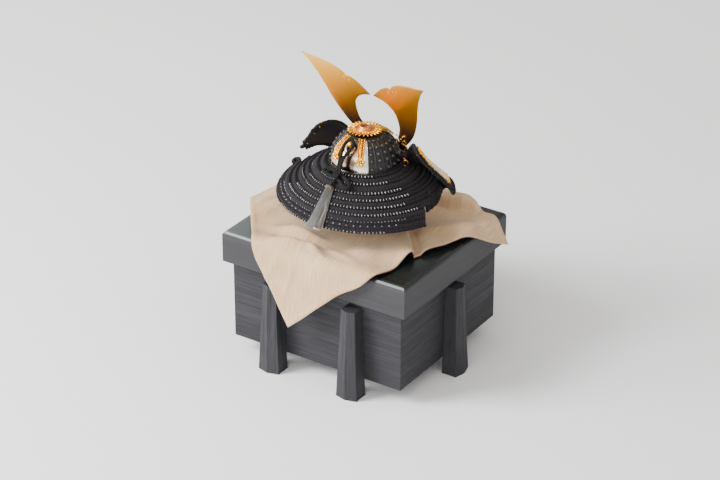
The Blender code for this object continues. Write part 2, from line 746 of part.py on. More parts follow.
def bow_loop(offsets, lift):
    """Points on the lames, from offsets to the knot as shares of a loop's length."""
    return [on_neck(KNOT_SIDE + x * BOW_LOOP, BAND_RADIUS + KNOT_BEHIND_BAND + y * BOW_LOOP, lift)
            for x, y in offsets]


def add_cord(name, points, material):
    """A closed loop of cord, used to make up the bow."""
    bm = bmesh.new()
    count = 4 * len(points)
    add_tube(bm, [spline(points, i / count, closed=True) for i in range(count)], CORD_RADIUS, 6, closed=True)
    return make_object(name, bm, material)


def build_bow(cord):
    """The cord: an arch round the boss, two strands to a knot, and a loop on each side of it."""
    point, out, down = boss_frame()
    side = Vector((1, 0, 0))
    knot = on_neck(KNOT_SIDE, BAND_RADIUS + KNOT_BEHIND_BAND, LAME_TOP_LIFT + KNOT_THICKNESS * 0.75)
    reach = BOSS_RADIUS + GAP * 2 + CORD_RADIUS
    height = out * (2 * RING_WIRE_RADIUS + 4 * GAP + CORD_RADIUS)
    centre = point + height
    apart = CORD_RADIUS * 1.3
    fall = between(centre, knot, 0.55) + Vector((0, 0.0015, 0.0025))
    arch = [knot + side * apart, fall + side * apart, centre + side * reach + down * 0.001,
            centre - down * reach, centre - side * reach + down * 0.001,
            fall - side * apart, knot - side * apart]
    lift = LAME_TOP_LIFT + CORD_RADIUS * 1.4
    left = bow_loop([(0.05, -0.11), (0.42, -0.27), (0.81, -0.34), (1.00, -0.20),
                     (0.78, -0.03), (0.41, 0.05), (0.05, 0.10)], lift)
    right = bow_loop([(-0.05, -0.10), (-0.38, -0.03), (-0.75, 0.14), (-0.92, 0.31),
                      (-0.72, 0.42), (-0.39, 0.29), (-0.05, 0.11)], lift)
    bm = bmesh.new()
    wide, thick = KNOT_WIDTH / 2, KNOT_THICKNESS / 2
    profile = [(0, -thick), (0.75 * wide, -0.7 * thick), (wide, 0), (0.75 * wide, 0.7 * thick), (0, thick)]
    add_turned(bm, profile, 12, lambda p: knot + p)
    bow = make_object("bow", bm, cord)
    for name, route in (("bow_arch", arch), ("bow_left", left), ("bow_right", right)):
        strand = add_cord(name, route, cord)
        strand.hide_render = True
        strand.display_type = "WIRE"
        union = bow.modifiers.new(name, "BOOLEAN")
        union.operation = "UNION"
        union.use_self = True
        union.object = strand
    return bow


def build_tassel(silk):
    """A flattened cone of silk lying down the lames below the knot, with shallow locks along it."""
    rows, columns = 9, 9
    lower, upper = [], []
    for r in range(rows):
        share = r / (rows - 1)
        x = between(TASSEL_TOP_SIDE, TASSEL_FOOT_SIDE, share)
        y = between(BAND_RADIUS + TASSEL_BEHIND_BAND, RIM_CENTRE_Y + RIM_HALF_DEPTH + TASSEL_PAST_RIM, share)
        half = between(TASSEL_TOP_WIDTH, TASSEL_FOOT_WIDTH, share) / 2
        low_row, top_row = [], []
        for c in range(columns):
            s = 2 * c / (columns - 1) - 1
            floor = LAME_TOP_LIFT + GAP
            crown = TASSEL_THICKNESS * math.sqrt(max(1 - s * s, 0.1)) * (1.0 if c % 2 else 0.86)
            low_row.append(on_neck(x + s * half, y, floor))
            top_row.append(on_neck(x + s * half, y, floor + crown))
        lower.append(low_row)
        upper.append(top_row)
    bm = bmesh.new()
    add_sheet(bm, upper, lower)
    return make_object("tassel", bm, silk)


# Turnbacks


def turnback_point(side, u, v, lift=0.0):
    """A point on a turnback: u from its top to its tip, v from the free edge to its foot on the lames."""
    def surface(u, v):
        edge = spline([(x * TURNBACK_REACH, -y * TURNBACK_SWEEP, BOWL_FOOT_Z + z * TURNBACK_RISE)
                       for x, y, z in TURNBACK_EDGE], u)
        bend = edge + TURNBACK_FORWARD * TURNBACK_BEND
        share = between(0.03, 0.64, u)
        clear = TURNBACK_FOOT_CLEAR / between(NECK_TOP_RADIUS, RIM_HALF_WIDTH, share)
        foot = neck_point(share, UPPER_LAME_END + clear, LAME_THICKNESS)
        return edge * (1 - v) ** 2 + bend * 2 * v * (1 - v) + foot * v * v

    point = surface(u, v)
    step = 1e-3
    along = surface(u + step, v) - surface(u - step, v)
    across = surface(u, v + step) - surface(u, v - step)
    normal = across.cross(along).normalized()
    point += normal * lift
    return Vector((side * point.x, point.y, point.z))


def build_turnback(name, side, lacing):
    u_rows = [r / 8 for r in range(9)]
    v_rows = [c / 6 for c in range(7)]
    lower = [[turnback_point(side, u, v, -TURNBACK_THICKNESS / 2) for v in v_rows] for u in u_rows]
    upper = [[turnback_point(side, u, v, TURNBACK_THICKNESS / 2) for v in v_rows] for u in u_rows]
    bm = bmesh.new()
    add_sheet(bm, upper, lower)
    return make_object(name, bm, lacing)


def build_panel(name, side, brocade):
    """The brocade panel on a turnback's front face, inside its edge."""
    u_rows = [between(0.08, 0.93, r / 8) for r in range(9)]
    v_rows = [between(0.08, 0.60, c / 4) for c in range(5)]
    foot = TURNBACK_THICKNESS / 2 + GAP
    lower = [[turnback_point(side, u, v, foot) for v in v_rows] for u in u_rows]
    upper = [[turnback_point(side, u, v, foot + PANEL_THICKNESS) for v in v_rows] for u in u_rows]
    bm = bmesh.new()
    add_sheet(bm, upper, lower)
    return make_object(name, bm, brocade)


# Front


def visor_top(x, y):
    """Height of the visor's upper face over a place."""
    return BOWL_FOOT_Z - GAP - VISOR_SLOPE * (math.hypot(x, y) - BAND_RADIUS - GAP)


def build_visor(lacquer):
    """The peak, sloping down and forward from the band."""
    columns = 20
    lower, upper = [], []
    for r in range(3):
        share = r / 2
        low_row, top_row = [], []
        for c in range(columns + 1):
            s = 2 * c / columns - 1
            angle = math.pi + s * VISOR_HALF_ANGLE
            reach = VISOR_REACH * share * (1 - 0.75 * s * s)
            point = polar(angle, BAND_RADIUS + GAP + reach, 0)
            point.z = visor_top(point.x, point.y)
            top_row.append(point)
            low_row.append(point - Vector((0, 0, VISOR_THICKNESS)))
        lower.append(low_row)
        upper.append(top_row)
    bm = bmesh.new()
    add_sheet(bm, upper, lower)
    return make_object("visor", bm, lacquer)


def build_horn_mount(gold):
    """The socket plate: it stands on the visor, against the front of the horns' roots."""
    columns = 16
    lower, upper = [], []
    for r in range(3):
        low_row, top_row = [], []
        for c in range(columns + 1):
            s = 2 * c / columns - 1
            x = s * MOUNT_HALF_WIDTH
            foot = 0.0
            for _ in range(4):
                foot = visor_top(x, horn_y(x, foot) - HORN_THICKNESS) + GAP - BOWL_FOOT_Z
            height = foot + MOUNT_HEIGHT * r / 2 * (1 - 0.45 * s * s)
            back = horn_y(x, height) - HORN_THICKNESS / 2 - GAP
            low_row.append(Vector((x, back, BOWL_FOOT_Z + height)))
            top_row.append(Vector((x, back - MOUNT_THICKNESS, BOWL_FOOT_Z + height)))
        lower.append(low_row)
        upper.append(top_row)
    bm = bmesh.new()
    add_sheet(bm, upper, lower)
    return make_object("horn_mount", bm, gold)


def horn_y(x, height):
    """Where the horn plate lies, leaning back and cupped."""
    toe = HORN_TOE * max(HORN_TOE_HEIGHT - height, 0)
    return HORN_FOOT_Y + HORN_LEAN * (height - HORN_ROOT_HEIGHT) + HORN_CUP * x * x - toe


def build_horn(name, side, gold):
    """A thin blade between its two edges, cupped round the bowl."""
    columns = 4
    back, front = [], []
    for inner_x, inner_h, outer_x, outer_h in HORN_EDGES:
        back_row, front_row = [], []
        for c in range(columns):
            x = between(inner_x, outer_x, c / (columns - 1)) * HORN_REACH
            height = HORN_ROOT_HEIGHT + between(inner_h, outer_h, c / (columns - 1)) * HORN_LENGTH
            y = horn_y(x, height)
            back_row.append(Vector((side * x, y + HORN_THICKNESS / 2, BOWL_FOOT_Z + height)))
            front_row.append(Vector((side * x, y - HORN_THICKNESS / 2, BOWL_FOOT_Z + height)))
        back.append(back_row)
        front.append(front_row)
    bm = bmesh.new()
    add_sheet(bm, back, front)
    return make_object(name, bm, gold)


# Eyelets


def build_eyelet(name, side, gold, red):
    """A small gold ring lying by the bowl, with a red bead at its head."""
    lift = LAME_THICKNESS * 2 + 3 * GAP + EYELET_WIRE_RADIUS
    centre = neck_point(0.08, side * EYELET_ANGLE, lift)
    slope = (neck_point(0.12, side * EYELET_ANGLE) - neck_point(0.04, side * EYELET_ANGLE)).normalized()
    across = slope.cross(Vector((0, 0, 1))).normalized()
    out = across.cross(slope)
    turns = [2 * math.pi * i / 12 for i in range(12)]
    loop = [centre + (slope * math.cos(a) * 1.35 + across * math.sin(a)) * EYELET_RADIUS for a in turns]
    bm = bmesh.new()
    add_tube(bm, loop, EYELET_WIRE_RADIUS, 5, closed=True, up=out)
    make_object(name, bm, gold)
    bead = centre + out * (EYELET_WIRE_RADIUS + GAP + BEAD_RADIUS) - slope * EYELET_RADIUS * 0.9
    bm = bmesh.new()
    bmesh.ops.create_icosphere(bm, subdivisions=2, radius=BEAD_RADIUS)
    bmesh.ops.translate(bm, vec=bead, verts=bm.verts)
    make_object(f"{name}_bead", bm, red, sharp_angle=60)


def main():
    for obj in list(bpy.data.objects):
        bpy.data.objects.remove(obj)

    wood = principled("stained_wood", rgb(86, 86, 92), 0.55)
    lid = principled("lid_lacquer", rgb(62, 66, 68), 0.3)
    lacquer = principled("black_lacquer", rgb(30, 31, 34), 0.3)
    lacing = principled("purple_black_lacing", rgb(48, 42, 52), 0.8)
    gold = principled("gold", rgb(222, 160, 50), 0.25, 1.0)
    silver = principled("silver", rgb(205, 190, 184), 0.15, 1.0)
    silk = principled("beige_silk", rgb(200, 180, 155), 0.6)
    brocade = principled("silver_brocade", rgb(196, 186, 168), 0.5, 0.3)
    cord = principled("black_cord", rgb(36, 38, 40), 0.8)
    tassel = principled("grey_silk", rgb(132, 134, 136), 0.4, 0.3)
    red = principled("red_bead", rgb(190, 40, 30), 0.2)

    build_chest_body(wood)
    build_chest_lid(lid)
    build_legs(wood)
    build_cloth(silk)
    build_post(wood)
    build_bowl(lacquer)
    build_band(lacquer)
    build_plate("back_plate", 0, silver)
    build_plate("front_plate", math.pi, silver)
    build_bar("back_bar_left", BACK_BAR_ANGLE, 0.25, gold)
    build_bar("back_bar_right", -BACK_BAR_ANGLE, 0.25, gold)
    build_bar("front_bar_left", math.pi - FRONT_BAR_ANGLE, 0.60, gold)
    build_bar("front_bar_right", math.pi + FRONT_BAR_ANGLE, 0.60, gold)
    build_crown_petals(gold)
    build_crown_collar(gold)
    build_boss(gold)
    build_ring(gold)
    build_bow(cord)
    build_tassel(tassel)
    for index in range(len(LAMES)):
        build_lame(index, lacing)
    for name, side in (("left", 1), ("right", -1)):
        build_turnback(f"turnback_{name}", side, lacing)
        build_panel(f"turnback_panel_{name}", side, brocade)
        build_horn(f"horn_{name}", side, gold)
        build_eyelet(f"side_eyelet_{name}", side, gold, red)
    build_visor(lacquer)
    build_horn_mount(gold)


main()
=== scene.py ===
"""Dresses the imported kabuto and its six-legged chest, and sets up the picture.

Metres, +Z up, the helmet's front to -Y, the wearer's left to +X. Angles round the helmet run from the
back (+Y), positive towards +X, as in the part. Shapes are numpy grids of points, laid out row by row.
"""
import math

import bpy
import numpy as np
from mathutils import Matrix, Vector


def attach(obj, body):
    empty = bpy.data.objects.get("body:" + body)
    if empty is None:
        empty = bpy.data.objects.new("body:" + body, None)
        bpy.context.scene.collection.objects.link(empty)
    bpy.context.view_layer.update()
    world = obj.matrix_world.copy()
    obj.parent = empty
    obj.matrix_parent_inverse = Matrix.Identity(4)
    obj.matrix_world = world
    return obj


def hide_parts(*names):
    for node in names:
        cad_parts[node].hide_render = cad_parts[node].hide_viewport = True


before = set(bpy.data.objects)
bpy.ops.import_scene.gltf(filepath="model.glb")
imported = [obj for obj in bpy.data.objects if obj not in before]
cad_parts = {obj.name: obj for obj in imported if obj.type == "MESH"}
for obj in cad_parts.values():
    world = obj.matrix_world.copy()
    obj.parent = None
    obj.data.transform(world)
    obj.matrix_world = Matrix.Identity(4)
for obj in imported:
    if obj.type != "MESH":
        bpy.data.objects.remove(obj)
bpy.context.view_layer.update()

MM = 0.001
GAP = 0.0003

# Sizes that follow the solids. A lame is (start, end, right ends, left ends): shares of the neck guard's
# slope, then the degrees at which it ends at its head and at its foot
LID_WIDTH, LID_DEPTH, LID_TOP_Z = 0.150, 0.1333, 0.0961
BOWL_RADIUS, BOWL_HEIGHT, BOWL_WALL, BOWL_FOOT_Z = 0.0237, 0.0203, 0.0012, 0.1449
PLATE_LIFT = GAP + 0.0006
CROWN_Z = BOWL_FOOT_Z + BOWL_HEIGHT + 0.0012
BAND_RADIUS = 0.0249
NECK_TOP_Z, NECK_TOP_RADIUS = BOWL_FOOT_Z - 0.0026, 0.0252
NECK_DROP, NECK_DROOP = 0.0252, 1.1
RIM_HALF_WIDTH, RIM_HALF_DEPTH, RIM_CENTRE_Y = 0.0650, 0.0648, -0.0075
NECK_SPREAD = RIM_HALF_WIDTH - NECK_TOP_RADIUS
LAME_THICKNESS, LAME_STEP = 0.0013, 0.0019
LAME_TOP_LIFT = 2 * LAME_THICKNESS + 3 * GAP
LAMES = [(0.000, 0.155, (124, 124), (124, 124)), (0.140, 0.325, (124, 124), (124, 124)),
         (0.310, 0.449, (124, 124), (124, 124)), (0.434, 0.580, (120.5, 120.5), (120.5, 120.5)),
         (0.565, 0.705, (90, 85), (90, 90)), (0.690, 1.000, (75, 66), (84, 88))]
BOWL_PROFILE = [(0.00, 1.000), (0.19, 0.985), (0.38, 0.945), (0.56, 0.875), (0.73, 0.770), (0.88, 0.630),
                (1.00, 0.440)]

# Lacing: pitch of the cords, width of the black strip at a lame's head, the degrees between which each
# lame's tips show as painted glints, and where the lowest lame's rolls meet
SCALE_PITCH = 0.0023
ROW_STRIP = 0.0023
ROW_ENDS = [(-45, 20), (-60, 34), (-70, 41), (-72, 36), (-62, 43), (-70, 48)]
LOW_ROLLS = [0.19, 0.45, 0.67, 0.985]


# Meshes


def turns(count):
    """Angles in equal steps round a full turn."""
    return np.arange(count) * 2 * np.pi / count


def points_of(*coordinates):
    """Coordinates given as separate grids, as one grid of points."""
    return np.stack(np.broadcast_arrays(*coordinates), -1)


def about_axis(radius, angle, height):
    """Points about the helmet's axis, from the back (+Y) towards +X."""
    return points_of(radius * np.sin(angle), radius * np.cos(angle), height)


def hoop(centre, first, second, count):
    """A closed loop of points: centre + first cos + second sin."""
    turn = turns(count)[:, None]
    return centre + first * np.cos(turn) + second * np.sin(turn)


def grid(rows, columns, wrap=False):
    """Quads over a grid of points numbered row by row; wrap joins the last column to the first."""
    r = np.arange(rows - 1)[:, None]
    c = np.arange(columns if wrap else columns - 1)[None, :]
    d = (c + 1) % columns
    return np.stack([r * columns + c, r * columns + d, (r + 1) * columns + d, (r + 1) * columns + c],
                    -1).reshape(-1, 4)


def seam(rows, columns):
    """Quads that join a grid's last row to its first."""
    first = np.arange(columns)
    last = first + (rows - 1) * columns
    return np.stack([last, np.roll(last, -1), np.roll(first, -1), first], -1)


class Form:
    """Points, faces and surface coordinates gathered into one mesh."""

    def __init__(self):
        self.points, self.faces, self.uv, self.slots, self.count, self.paint = [], [], [], [], 0, 0

    def add(self, points, faces, uv=None):
        """Add points (..., 3) with one or more arrays or lists of faces, and one (u, v) for each point. The
        faces take the material slot that paint names."""
        points = np.asarray(points, float).reshape(-1, 3)
        for some in faces if isinstance(faces, tuple) else (faces,):
            rows = (np.asarray(some) + self.count).tolist()
            self.faces += rows
            self.slots += [self.paint] * len(rows)
        self.points.append(points)
        self.uv.append(np.zeros((len(points), 2)) if uv is None else np.asarray(uv, float).reshape(-1, 2))
        self.count += len(points)

    def shell(self, outer, inner, wrap=False, uv=None, inner_slot=None):
        """The closed space between two equal grids of points: both sides and the walls between them."""
        rows, columns = outer.shape[:2]
        n = rows * columns
        index = np.arange(n).reshape(rows, columns)

        def wall(edge):
            return np.stack([edge[:-1], edge[:-1] + n, edge[1:] + n, edge[1:]], -1)

        first, last = index[0], index[-1]
        if wrap:
            first, last = np.append(first, first[0]), np.append(last, last[0])
        walls = [wall(first), wall(last[::-1])]
        if not wrap:
            walls += [wall(index[::-1, 0]), wall(index[:, -1])]
        faces = grid(rows, columns, wrap)
        points = np.concatenate([outer.reshape(-1, 3), inner.reshape(-1, 3)])
        rest = np.concatenate([faces[:, ::-1] + n] + walls) + self.count
        self.add(points, faces, None if uv is None else np.concatenate([uv.reshape(-1, 2)] * 2))
        self.faces += rest.tolist()
        self.slots += [self.paint if inner_slot is None else inner_slot] * len(rest)

    def tube(self, path, radius, sides=10, closed=False, up=(0, 0, 1), flat=1.0):
        """A round section carried along a path: path + across cos a + over sin a. Radius may vary along it.
        An open tube has flat ends. The surface coordinates are length along and turn round, in metres."""
        path = np.asarray(path, float)
        n = len(path)
        ahead = np.roll(path, -1, 0) - np.roll(path, 1, 0)
        if not closed:
            ahead[0], ahead[-1] = path[1] - path[0], path[-1] - path[-2]
        ahead = unit(ahead)
        across = unit(np.cross(ahead, np.broadcast_to(up, ahead.shape)))
        over = np.cross(across, ahead)
        turn = turns(sides)
        radius = np.broadcast_to(radius, n)
        rings = path[:, None] + radius[:, None, None] * (across[:, None] * np.cos(turn)[:, None]
                                                         + over[:, None] * np.sin(turn)[:, None] * flat)
        along = np.concatenate([[0], np.cumsum(np.linalg.norm(np.diff(path, axis=0), axis=1))])
        uv = points_of(along[:, None], turn[None] * float(np.mean(radius)))
        faces = grid(n, sides, True)
        if closed:
            self.add(rings, np.concatenate([faces, seam(n, sides)]), uv)
        else:
            start, end = list(range(sides))[::-1], list(range((n - 1) * sides, n * sides))
            self.add(rings, (faces, [start], [end]), uv)

    def beads(self, centres, along, across, out, size, around=8, levels=5):
        """An ellipsoid at each centre, with its three half axes along, across and out times size."""
        turn, tilt = turns(around), np.arange(1, levels) * np.pi / levels
        side = np.sin(tilt)[:, None]
        ball = points_of(side * np.cos(turn), side * np.sin(turn), np.cos(tilt)[:, None]).reshape(-1, 3)
        ball = np.concatenate([ball, [[0, 0, 1], [0, 0, -1]]])
        size = np.broadcast_to(size, (len(centres), 3))
        axes = np.stack(np.broadcast_arrays(along, across, out), 1) * size[:, :, None]
        axes = np.broadcast_to(axes, (len(centres), 3, 3))
        points = centres[:, None] + np.einsum("ij,kjl->kil", ball, axes)
        first, last = np.arange(around), np.arange(around) + (levels - 2) * around
        top, low = len(ball) - 2, len(ball) - 1
        quads = grid(levels - 1, around, True)[:, ::-1]
        tips = np.concatenate([np.stack([np.full(around, top), first, np.roll(first, -1)], -1),
                               np.stack([np.full(around, low), np.roll(last, -1), last], -1)])
        shift = (np.arange(len(centres)) * len(ball))[:, None, None]
        if np.linalg.det(axes[0]) < 0:
            quads, tips = quads[:, ::-1], tips[:, ::-1]
        self.add(points, ((quads[None] + shift).reshape(-1, 4), (tips[None] + shift).reshape(-1, 3)))

    def turned(self, profile, segments=48, place=lambda p: p):
        """A closed profile of (radius, height) turned about Z, then placed."""
        profile = np.asarray(profile, float)
        turn = turns(segments)
        points = points_of(profile[:, :1] * np.cos(turn), profile[:, :1] * np.sin(turn), profile[:, 1:])
        faces = grid(len(profile), segments, True)
        if min(profile[0, 0], profile[-1, 0]) >= 1e-6:
            faces = np.concatenate([faces, seam(len(profile), segments)])
        self.add(place(points.reshape(-1, 3)), faces)

    def piece(self, name, materials, nodes=(), slot=None):
        """Make the object: faces turned outward by the sign of the volume, smooth, riding on the root."""
        points = np.concatenate(self.points)
        mesh = bpy.data.meshes.new(name)
        mesh.from_pydata(points.tolist(), [], self.faces)
        mesh.polygons.foreach_set("material_index", self.slots)
        layer = mesh.uv_layers.new(name="surface")
        corners = np.empty(len(mesh.loops), int)
        mesh.loops.foreach_get("vertex_index", corners)
        layer.data.foreach_set("uv", np.concatenate(self.uv)[corners].ravel())
        mesh.calc_loop_triangles()
        triangles = np.empty(len(mesh.loop_triangles) * 3, int)
        mesh.loop_triangles.foreach_get("vertices", triangles)
        a, b, c = points[triangles.reshape(-1, 3).T]
        if np.einsum("ij,ij->", a, np.cross(b, c)) < 0:
            mesh.flip_normals()
        mesh.shade_smooth()
        for finish in materials if isinstance(materials, list) else [materials]:
            mesh.materials.append(finish)
        obj = bpy.data.objects.new(name, mesh)
        bpy.context.scene.collection.objects.link(obj)
        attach(obj, "root")
        if nodes:
            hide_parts(*nodes)
        return obj


def unit(v):
    """Vectors scaled to length one."""
    return v / np.maximum(np.linalg.norm(v, axis=-1, keepdims=True), 1e-12)


def curve(points, t):
    """A smooth open curve through points (Catmull-Rom), at shares t of its count of spans."""
    p = np.asarray(points, float)
    spans = len(p) - 1
    x = np.clip(np.asarray(t, float), 0, 1) * spans
    i = np.minimum(x.astype(int), spans - 1)
    f = (x - i)[..., None]
    run = np.vstack([2 * p[0] - p[1], p, 2 * p[-1] - p[-2]])
    a, b, c, d = (run[i + k] for k in range(4))
    square, cube = 2 * a - 5 * b + 4 * c - d, 3 * b - a - 3 * c + d
    return 0.5 * (2 * b + (c - a) * f + square * f ** 2 + cube * f ** 3)


def mix(a, b, t):
    return a + (b - a) * t


def smooth(low, high, x):
    """0 below low, 1 above high, and an S between them."""
    t = np.clip((x - low) / (high - low), 0, 1)
    return t * t * (3 - 2 * t)


def bell(x, width):
    """1 at x = 0, falling to nothing in about twice the width on both sides."""
    return np.exp(-(x / width) ** 2)


def ripple(x, y, seed, scale):
    """Smooth seeded unevenness: a sum of eight sine waves in seeded directions, about -1 to 1."""
    rng = np.random.default_rng(seed)
    total = 0.0
    for _ in range(8):
        angle, phase, pitch = rng.uniform(0, 2 * np.pi), rng.uniform(0, 2 * np.pi), rng.uniform(0.6, 1.8)
        total = total + np.sin((x * np.cos(angle) + y * np.sin(angle)) * 2 * np.pi * pitch / scale + phase)
    return total / 4


# Shader nodes


def rgb(red, green, blue):
    """An sRGB colour of 0 to 255 as linear values with alpha."""
    levels = [((c / 255 + 0.055) / 1.055) ** 2.4 if c > 10 else c / 3294 for c in (red, green, blue)]
    return (*levels, 1.0)


def feed(tree, node, inputs):
    """Give a node its inputs, each a value or another node's output. An input called _2 is input number 2."""
    for key, value in inputs.items():
        socket = node.inputs[int(key[1:])] if key[0] == "_" else node.inputs[key.replace("_", " ")]
        if isinstance(value, bpy.types.NodeSocket):
            tree.links.new(value, socket)
        else:
            socket.default_value = value


def put(tree, kind, settings=None, **inputs):
    """Add a node with its settings and its inputs."""
    node = tree.nodes.new("ShaderNode" + kind)
    for key, value in (settings or {}).items():
        setattr(node, key, value)
    feed(tree, node, inputs)
    return node


def use(tree, made, **inputs):
    """Place a node group in a material."""
    node = tree.nodes.new("ShaderNodeGroup")
    node.node_tree = made
    feed(tree, node, inputs)
    return node.outputs


def remap(tree, value, low, high, first=0.0, last=1.0):
    """A value carried from low..high to first..last, and held at those ends."""
    return put(tree, "MapRange", None, Value=value, _1=low, _2=high, _3=first, _4=last).outputs[0]


def reckon(tree, operation, *values, **settings):
    """One step of arithmetic."""
    inputs = {f"_{number}": value for number, value in enumerate(values)}
    return put(tree, "Math", {"operation": operation, **settings}, **inputs).outputs[0]


def blend(tree, factor, first, second, kind="MIX"):
    """Two colours mixed by a factor."""
    settings = {"data_type": "RGBA", "blend_type": kind}
    return put(tree, "Mix", settings, _0=factor, _6=first, _7=second).outputs[2]


def noise(tree, place, scale, detail, flat=False, **more):
    """Noise at a place; flat noise reads the first two coordinates alone."""
    settings = {"noise_dimensions": "2D"} if flat else None
    return put(tree, "TexNoise", settings, Vector=place, Scale=scale, Detail=detail, **more).outputs["Fac"]


def stretched(tree, place, scale):
    """A place scaled along each axis."""
    return put(tree, "Mapping", None, Vector=place, Scale=scale).outputs[0]


def split(tree, vector):
    """A vector's parts, by the names X, Y and Z."""
    return put(tree, "SeparateXYZ", None, Vector=vector).outputs


def ramp(tree, value, stops):
    """A colour ramp over a value; stops are (place, colour), from any first place to any last."""
    low, high = stops[0][0], stops[-1][0]
    node = put(tree, "ValToRGB", None, Fac=remap(tree, value, low, high))
    elements = node.color_ramp.elements
    while len(elements) < len(stops):
        elements.new(0.5)
    for element, (place, colour) in zip(elements, stops):
        element.position, element.color = (place - low) / (high - low), colour
    return node.outputs["Color"]


def group(name, inputs, outputs):
    """A shader node group with named sockets; returns the tree, its inputs by name and its output node."""
    tree = bpy.data.node_groups.new(name, "ShaderNodeTree")
    for key, kind, value in inputs:
        socket = tree.interface.new_socket(key, in_out="INPUT", socket_type="NodeSocket" + kind)
        if value is not None:
            socket.default_value = value
    for key, kind in outputs:
        tree.interface.new_socket(key, in_out="OUTPUT", socket_type="NodeSocket" + kind)
    return tree, tree.nodes.new("NodeGroupInput").outputs, tree.nodes.new("NodeGroupOutput")


def make_grain_group():
    """Wood grain: long streaks of noise, plus open pores as short dark strokes along the grain."""
    tree, i, out = group("wood grain", [("Place", "Vector", None), ("Dark", "Color", (0, 0, 0, 1)),
                                        ("Light", "Color", (1, 1, 1, 1)), ("Pores", "Float", 0.5)],
                         [("Colour", "Color"), ("Height", "Float"), ("Rough", "Float")])
    tone = remap(tree, noise(tree, i["Place"], 1.0, 6.0, Roughness=0.65, Distortion=0.25), 0.3, 0.7)
    wide = remap(tree, noise(tree, i["Place"], 0.22, 3.0, Roughness=0.5), 0.3, 0.7, 0.25)
    pores = remap(tree, noise(tree, i["Place"], 2.6, 2.0, Roughness=0.6), 0.36, 0.47, 1.0, 0.0)
    deep = reckon(tree, "MULTIPLY", pores, i["Pores"])
    cut = reckon(tree, "SUBTRACT", reckon(tree, "MULTIPLY", tone, wide), deep, use_clamp=True)
    feed(tree, out, {"Colour": blend(tree, cut, i["Dark"], i["Light"]),
                     "Height": reckon(tree, "SUBTRACT", tone, deep),
                     "Rough": remap(tree, cut, 0.0, 1.0, 0.72, 0.48)})
    return tree


def make_mottle_group():
    """Unevenness of a finish: one colour drifts to another in soft patches, with a fine speckled height."""
    tree, i, out = group("mottle", [("Place", "Vector", None), ("Scale", "Float", 100.0),
                                    ("First", "Color", (0, 0, 0, 1)), ("Second", "Color", (1, 1, 1, 1)),
                                    ("Low rough", "Float", 0.3), ("High rough", "Float", 0.5)],
                         [("Colour", "Color"), ("Rough", "Float"), ("Height", "Float")])
    soft = noise(tree, i["Place"], i["Scale"], 4.0, Roughness=0.6)
    feed(tree, out, {"Colour": blend(tree, remap(tree, soft, 0.32, 0.68), i["First"], i["Second"]),
                     "Rough": remap(tree, soft, 0.32, 0.68, i["Low rough"], i["High rough"]),
                     "Height": noise(tree, i["Place"], reckon(tree, "MULTIPLY", i["Scale"], 9.0), 2.0)})
    return tree


def make_weave_group():
    """Plain weave on surface coordinates in metres: two crossing sets of thread waves, with slubs, which are
    threads that swell and fade along their length."""
    tree, i, out = group("weave", [("Place", "Vector", None), ("Threads", "Float", 3000.0),
                                   ("Slub", "Float", 0.5)],
                         [("Height", "Float"), ("Slubs", "Float")])
    place = split(tree, i["Place"])
    waves = [reckon(tree, "SINE", reckon(tree, "MULTIPLY", place[axis], i["Threads"])) for axis in ("X", "Y")]
    slubs = []
    for stretch, most in (((1700.0, 70.0, 1.0), 1.0), ((90.0, 2600.0, 1.0), 0.3)):
        swell = noise(tree, stretched(tree, i["Place"], stretch), 1.0, 3.0, True, Roughness=0.55)
        slubs.append(remap(tree, swell, 0.38, 0.66, 0.0, most))
    slub = reckon(tree, "ADD", *slubs)
    strong = reckon(tree, "MULTIPLY", slub, i["Slub"])
    height = reckon(tree, "MULTIPLY_ADD", reckon(tree, "MULTIPLY", *waves), 0.35, strong)
    feed(tree, out, {"Height": height, "Slubs": slub})
    return tree


def make_braid_group():
    """Braided cord on surface coordinates in metres: herringbone strands from two slanting waves."""
    tree, i, out = group("braid", [("Place", "Vector", None), ("Strands", "Float", 5000.0)],
                         [("Height", "Float"), ("Tone", "Float")])
    place = split(tree, i["Place"])
    slants = []
    for slant in (1.6, -1.6):
        both = reckon(tree, "ADD", place["X"], reckon(tree, "MULTIPLY", place["Y"], slant))
        slants.append(reckon(tree, "SINE", reckon(tree, "MULTIPLY", both, i["Strands"])))
    height = reckon(tree, "MAXIMUM", *slants)
    fuzz = noise(tree, i["Place"], 3500.0, 2.0)
    # Tone: random fuzz, plus painted shade that darkens the braid between its strands.
    feed(tree, out, {"Height": height, "Tone": reckon(tree, "MULTIPLY_ADD", height, 0.25, fuzz)})
    return tree


def make_chasing_group():
    """Chased metal: small rounded cells of relief, with painted shade darkening the hollows between them."""
    tree, i, out = group("chasing", [("Place", "Vector", None), ("Scale", "Float", 600.0),
                                     ("Hollow", "Color", (0, 0, 0, 1)), ("Raised", "Color", (1, 1, 1, 1))],
                         [("Colour", "Color"), ("Height", "Float")])
    cell = put(tree, "TexVoronoi", {"feature": "SMOOTH_F1"}, Vector=i["Place"], Scale=i["Scale"],
               Smoothness=0.4)
    height = remap(tree, cell.outputs["Distance"], 0.1, 0.6, 1.0, 0.0)
    feed(tree, out, {"Colour": blend(tree, height, i["Hollow"], i["Raised"]), "Height": height})
    return tree


GRAIN, MOTTLE, WEAVE = make_grain_group(), make_mottle_group(), make_weave_group()
BRAID, CHASING = make_braid_group(), make_chasing_group()


# Materials


def material(name, **sockets):
    """A new material: its tree, its Principled shader and its coordinates."""
    made = bpy.data.materials.new(name)
    made.use_nodes = True
    tree = made.node_tree
    shader = tree.nodes["Principled BSDF"]
    feed(tree, shader, sockets)
    return made, tree, shader, put(tree, "TexCoord").outputs


def bump(tree, shader, height, strength, distance):
    """Fine relief from a height, in the shader's normal."""
    node = put(tree, "Bump", None, Height=height, Strength=strength, Distance=distance)
    tree.links.new(node.outputs["Normal"], shader.inputs["Normal"])


